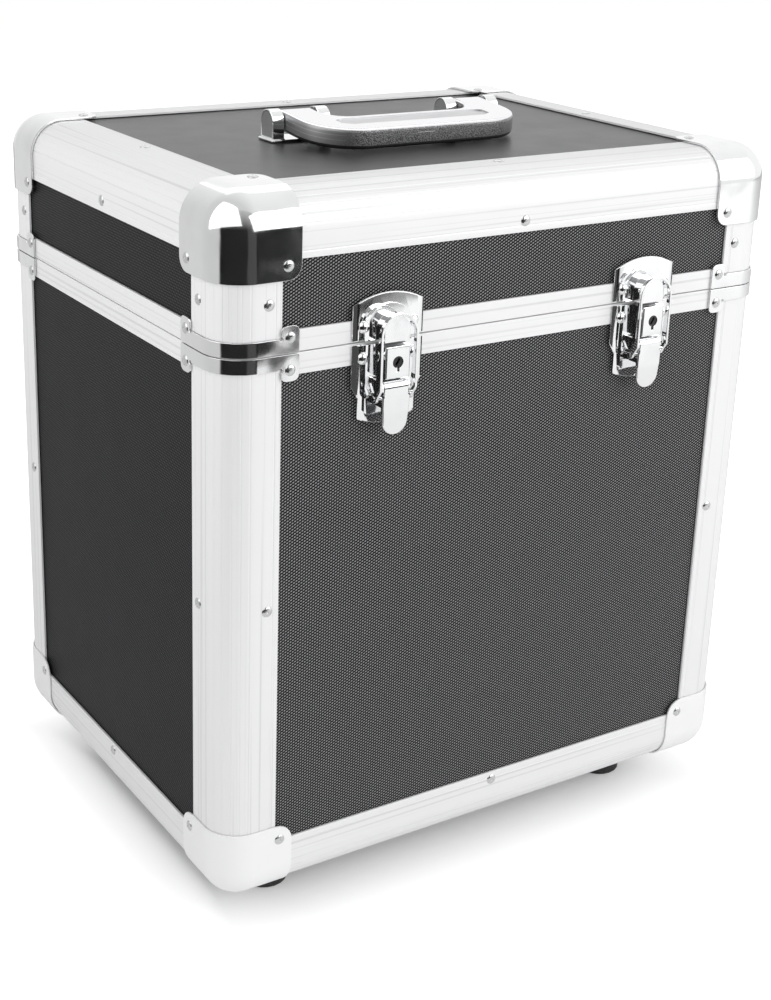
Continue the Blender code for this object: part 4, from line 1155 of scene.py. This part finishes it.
# The room as bright metal mirrors it: a sweep behind the case, and a dark room in front of it
SWEEP_WAY = (0.94, 0.34)
ROOM_SWEEP = ((-1, 0.62), (-0.77, 0.62), (-0.12, 0.68), (0.4, 0.92), (0.75, 1.02), (1, 1.02))
FRONT_WAY = (-0.39, -0.92)
FRONT_SHARE = ((0.47, 0), (0.55, 1))
ROOM_FRONT = ((-1, 0.012), (0.08, 0.015), (0.18, 0.06), (0.47, 0.24), (0.86, 0.5), (1, 0.45))
ROOM_STRIP = ((-1, 0), (-0.12, 0.002), (-0.04, 0.05), (0.36, 0.055), (0.4, 0), (1, 0))


def rays(tree):
    """The Light Path's sockets, and a flag of the rays that show a thing directly."""
    path = tree.nodes.new("ShaderNodeLightPath").outputs
    return path, math_node(tree, "MAXIMUM", path["Is Camera Ray"], path["Is Transmission Ray"])


def along_way(tree, x, y, way):
    """How far a direction points along a level way."""
    return math_node(tree, "ADD", math_node(tree, "MULTIPLY", x, way[0]),
                     math_node(tree, "MULTIPLY", y, way[1]))


def mirrored_room(tree, x, y, z):
    """Light of the room as bright metal mirrors it."""
    sweep = ramp(tree, along_way(tree, x, y, SWEEP_WAY), ROOM_SWEEP)
    sideways = math_node(tree, "DIVIDE", x, math_node(tree, "MULTIPLY", y, -1))
    front = math_node(tree, "ADD", ramp(tree, z, ROOM_FRONT), ramp(tree, sideways, ROOM_STRIP))
    return mix_node(
        tree, ramp(tree, along_way(tree, x, y, FRONT_WAY), FRONT_SHARE), sweep, front)


def studio_world():
    """White to the camera, an even pale room to the case and a dark front to bright metal."""
    world = bpy.data.worlds.new("studio")
    bpy.context.scene.world = world
    world.use_nodes = True
    tree = world.node_tree
    background = tree.nodes["Background"]
    background.inputs["Color"].default_value = (1, 1, 1, 1)
    path, direct = rays(tree)
    x, y, z = axes(tree, tree.nodes.new("ShaderNodeTexCoord").outputs["Generated"])
    level = mix_node(
        tree, path["Is Glossy Ray"], ramp(tree, z, ROOM_LEVEL), mirrored_room(tree, x, y, z))
    tree.links.new(mix_node(tree, direct, level, 1), background.inputs["Strength"])


def glow_with_painted_shadow(tree, place):
    """Light of the table by distance from the case, weak close to it as a painted shadow, which is
    narrower along its left side.
    """
    x, y, _ = axes(tree, place)
    deep = math_node(tree, "SUBTRACT", math_node(tree, "ABSOLUTE", y), HALF_DEPTH)
    right = math_node(tree, "SUBTRACT", x, HALF_WIDTH)
    left = math_node(tree, "SUBTRACT", math_node(tree, "MULTIPLY", x, -1), HALF_WIDTH)
    away = math_node(tree, "SMOOTH_MAX", deep, right, 0.02)
    return math_node(
        tree, "SMOOTH_MAX", ramp(tree, away, TABLE_GLOW), ramp(tree, left, LEFT_GLOW), 0.1)


def table_material():
    """White table with a glow of its own, which bright metal mirrors only faintly and which is weak
    near the case as a painted shadow.
    """
    tree, shader, place = new_material("white_table", TABLE_SEEN, 0, 0.9)
    shader.inputs["Specular IOR Level"].default_value = 0
    shader.inputs["Emission Color"].default_value = (1, 1, 1, 1)
    path, direct = rays(tree)
    unseen = math_node(tree, "SUBTRACT", 1, path["Is Camera Ray"])
    colour_mix(tree, shader, unseen, TABLE_SEEN, TABLE_UNSEEN)
    mirrored = math_node(tree, "MULTIPLY", path["Is Glossy Ray"], TABLE_IN_METAL)
    shown = math_node(tree, "MAXIMUM", direct, mirrored)
    lift = math_node(tree, "MULTIPLY", shown, glow_with_painted_shadow(tree, place))
    tree.links.new(lift, shader.inputs["Emission Strength"])
    return bpy.data.materials["white_table"]


def studio_floor():
    """A white table under the case, which keeps its soft shadow, deepened by a painted shadow in its
    glow, and runs out to white.
    """
    bm = bmesh.new()
    level = CAD_BOX[0].z - TABLE_DROP
    verts = [bm.verts.new((x, y, level)) for x, y in TABLE_EDGE]
    edges = [bm.edges.new(pair) for pair in zip(verts, verts[1:] + verts[:1])]
    bmesh.ops.contextual_create(bm, geom=edges)
    bmesh.ops.recalc_face_normals(bm, faces=bm.faces)
    if bm.faces[:][0].normal.z < 0:
        bmesh.ops.reverse_faces(bm, faces=bm.faces)
    mesh = bpy.data.meshes.new("floor")
    bm.to_mesh(mesh)
    bm.free()
    mesh.materials.append(table_material())
    floor = bpy.data.objects.new("floor", mesh)
    bpy.context.scene.collection.objects.link(floor)


def soft_lamp(name, place, target, width, height, power, roll):
    """A rectangular soft lamp that faces a point."""
    lamp = bpy.data.lights.new(name, "AREA")
    lamp.shape = "RECTANGLE"
    lamp.size = width
    lamp.size_y = height
    lamp.energy = power
    holder = bpy.data.objects.new(name, lamp)
    holder.location = place
    toward = (Vector(target) - Vector(place)).to_track_quat("-Z", "Y").to_matrix()
    holder.rotation_euler = (toward @ Matrix.Rotation(math.radians(roll), 3, "Z")).to_euler()
    bpy.context.scene.collection.objects.link(holder)


def studio_camera():
    """A camera at the photograph's angle."""
    lens = bpy.data.cameras.new("camera")
    lens.sensor_fit = "HORIZONTAL"
    lens.sensor_width = 36
    lens.lens = CAMERA_LENS
    lens.shift_x, lens.shift_y = CAMERA_SHIFT
    lens.clip_start = 0.01
    lens.clip_end = 50
    camera = bpy.data.objects.new("camera", lens)
    camera.location = CAMERA_PLACE
    camera.rotation_euler = [math.radians(angle) for angle in CAMERA_TURN]
    bpy.context.scene.collection.objects.link(camera)
    bpy.context.scene.camera = camera


class CASE_OT_stage(bpy.types.Operator):
    """Sets the case in a plain studio with soft lamps and a camera."""

    bl_idname = "case.stage"
    bl_label = "Studio"

    def execute(self, context):
        studio_world()
        studio_floor()
        for lamp in LAMPS:
            soft_lamp(*lamp)
        studio_camera()
        context.scene.view_settings.view_transform = "Standard"
        return {"FINISHED"}


class CASE_PT_sidebar(bpy.types.Panel):
    """Lists the pieces of the case."""

    bl_label = "Record case"
    bl_idname = "CASE_PT_sidebar"
    bl_space_type = "VIEW_3D"
    bl_region_type = "UI"
    bl_category = "Case"

    def draw(self, context):
        for group in (context.scene.case_sizes, context.scene.case_colours):
            for name in group.__annotations__:
                self.layout.prop(group, name)
        for operator in OPERATORS:
            self.layout.operator(operator.bl_idname)


OPERATORS = (
    CASE_OT_boards,
    CASE_OT_edges,
    CASE_OT_corners,
    CASE_OT_brackets,
    CASE_OT_rivets,
    CASE_OT_latches,
    CASE_OT_handle,
    CASE_OT_hinge,
    CASE_OT_feet,
    CASE_OT_lining,
    CASE_OT_stage,
)
CLASSES = (CaseSizes, CaseColours, *OPERATORS, CASE_PT_sidebar)


def register():
    """Registers the classes and their settings."""
    for made in CLASSES:
        bpy.utils.register_class(made)
    bpy.types.Scene.case_sizes = PointerProperty(type=CaseSizes)
    bpy.types.Scene.case_colours = PointerProperty(type=CaseColours)


def unregister():
    """Removes the settings and the classes."""
    del bpy.types.Scene.case_colours
    del bpy.types.Scene.case_sizes
    for made in reversed(CLASSES):
        bpy.utils.unregister_class(made)


def main():
    """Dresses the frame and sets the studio."""
    register()
    for operator in OPERATORS:
        group, name = operator.bl_idname.split(".")
        getattr(getattr(bpy.ops, group), name)()


if __name__ == "__main__":
    main()
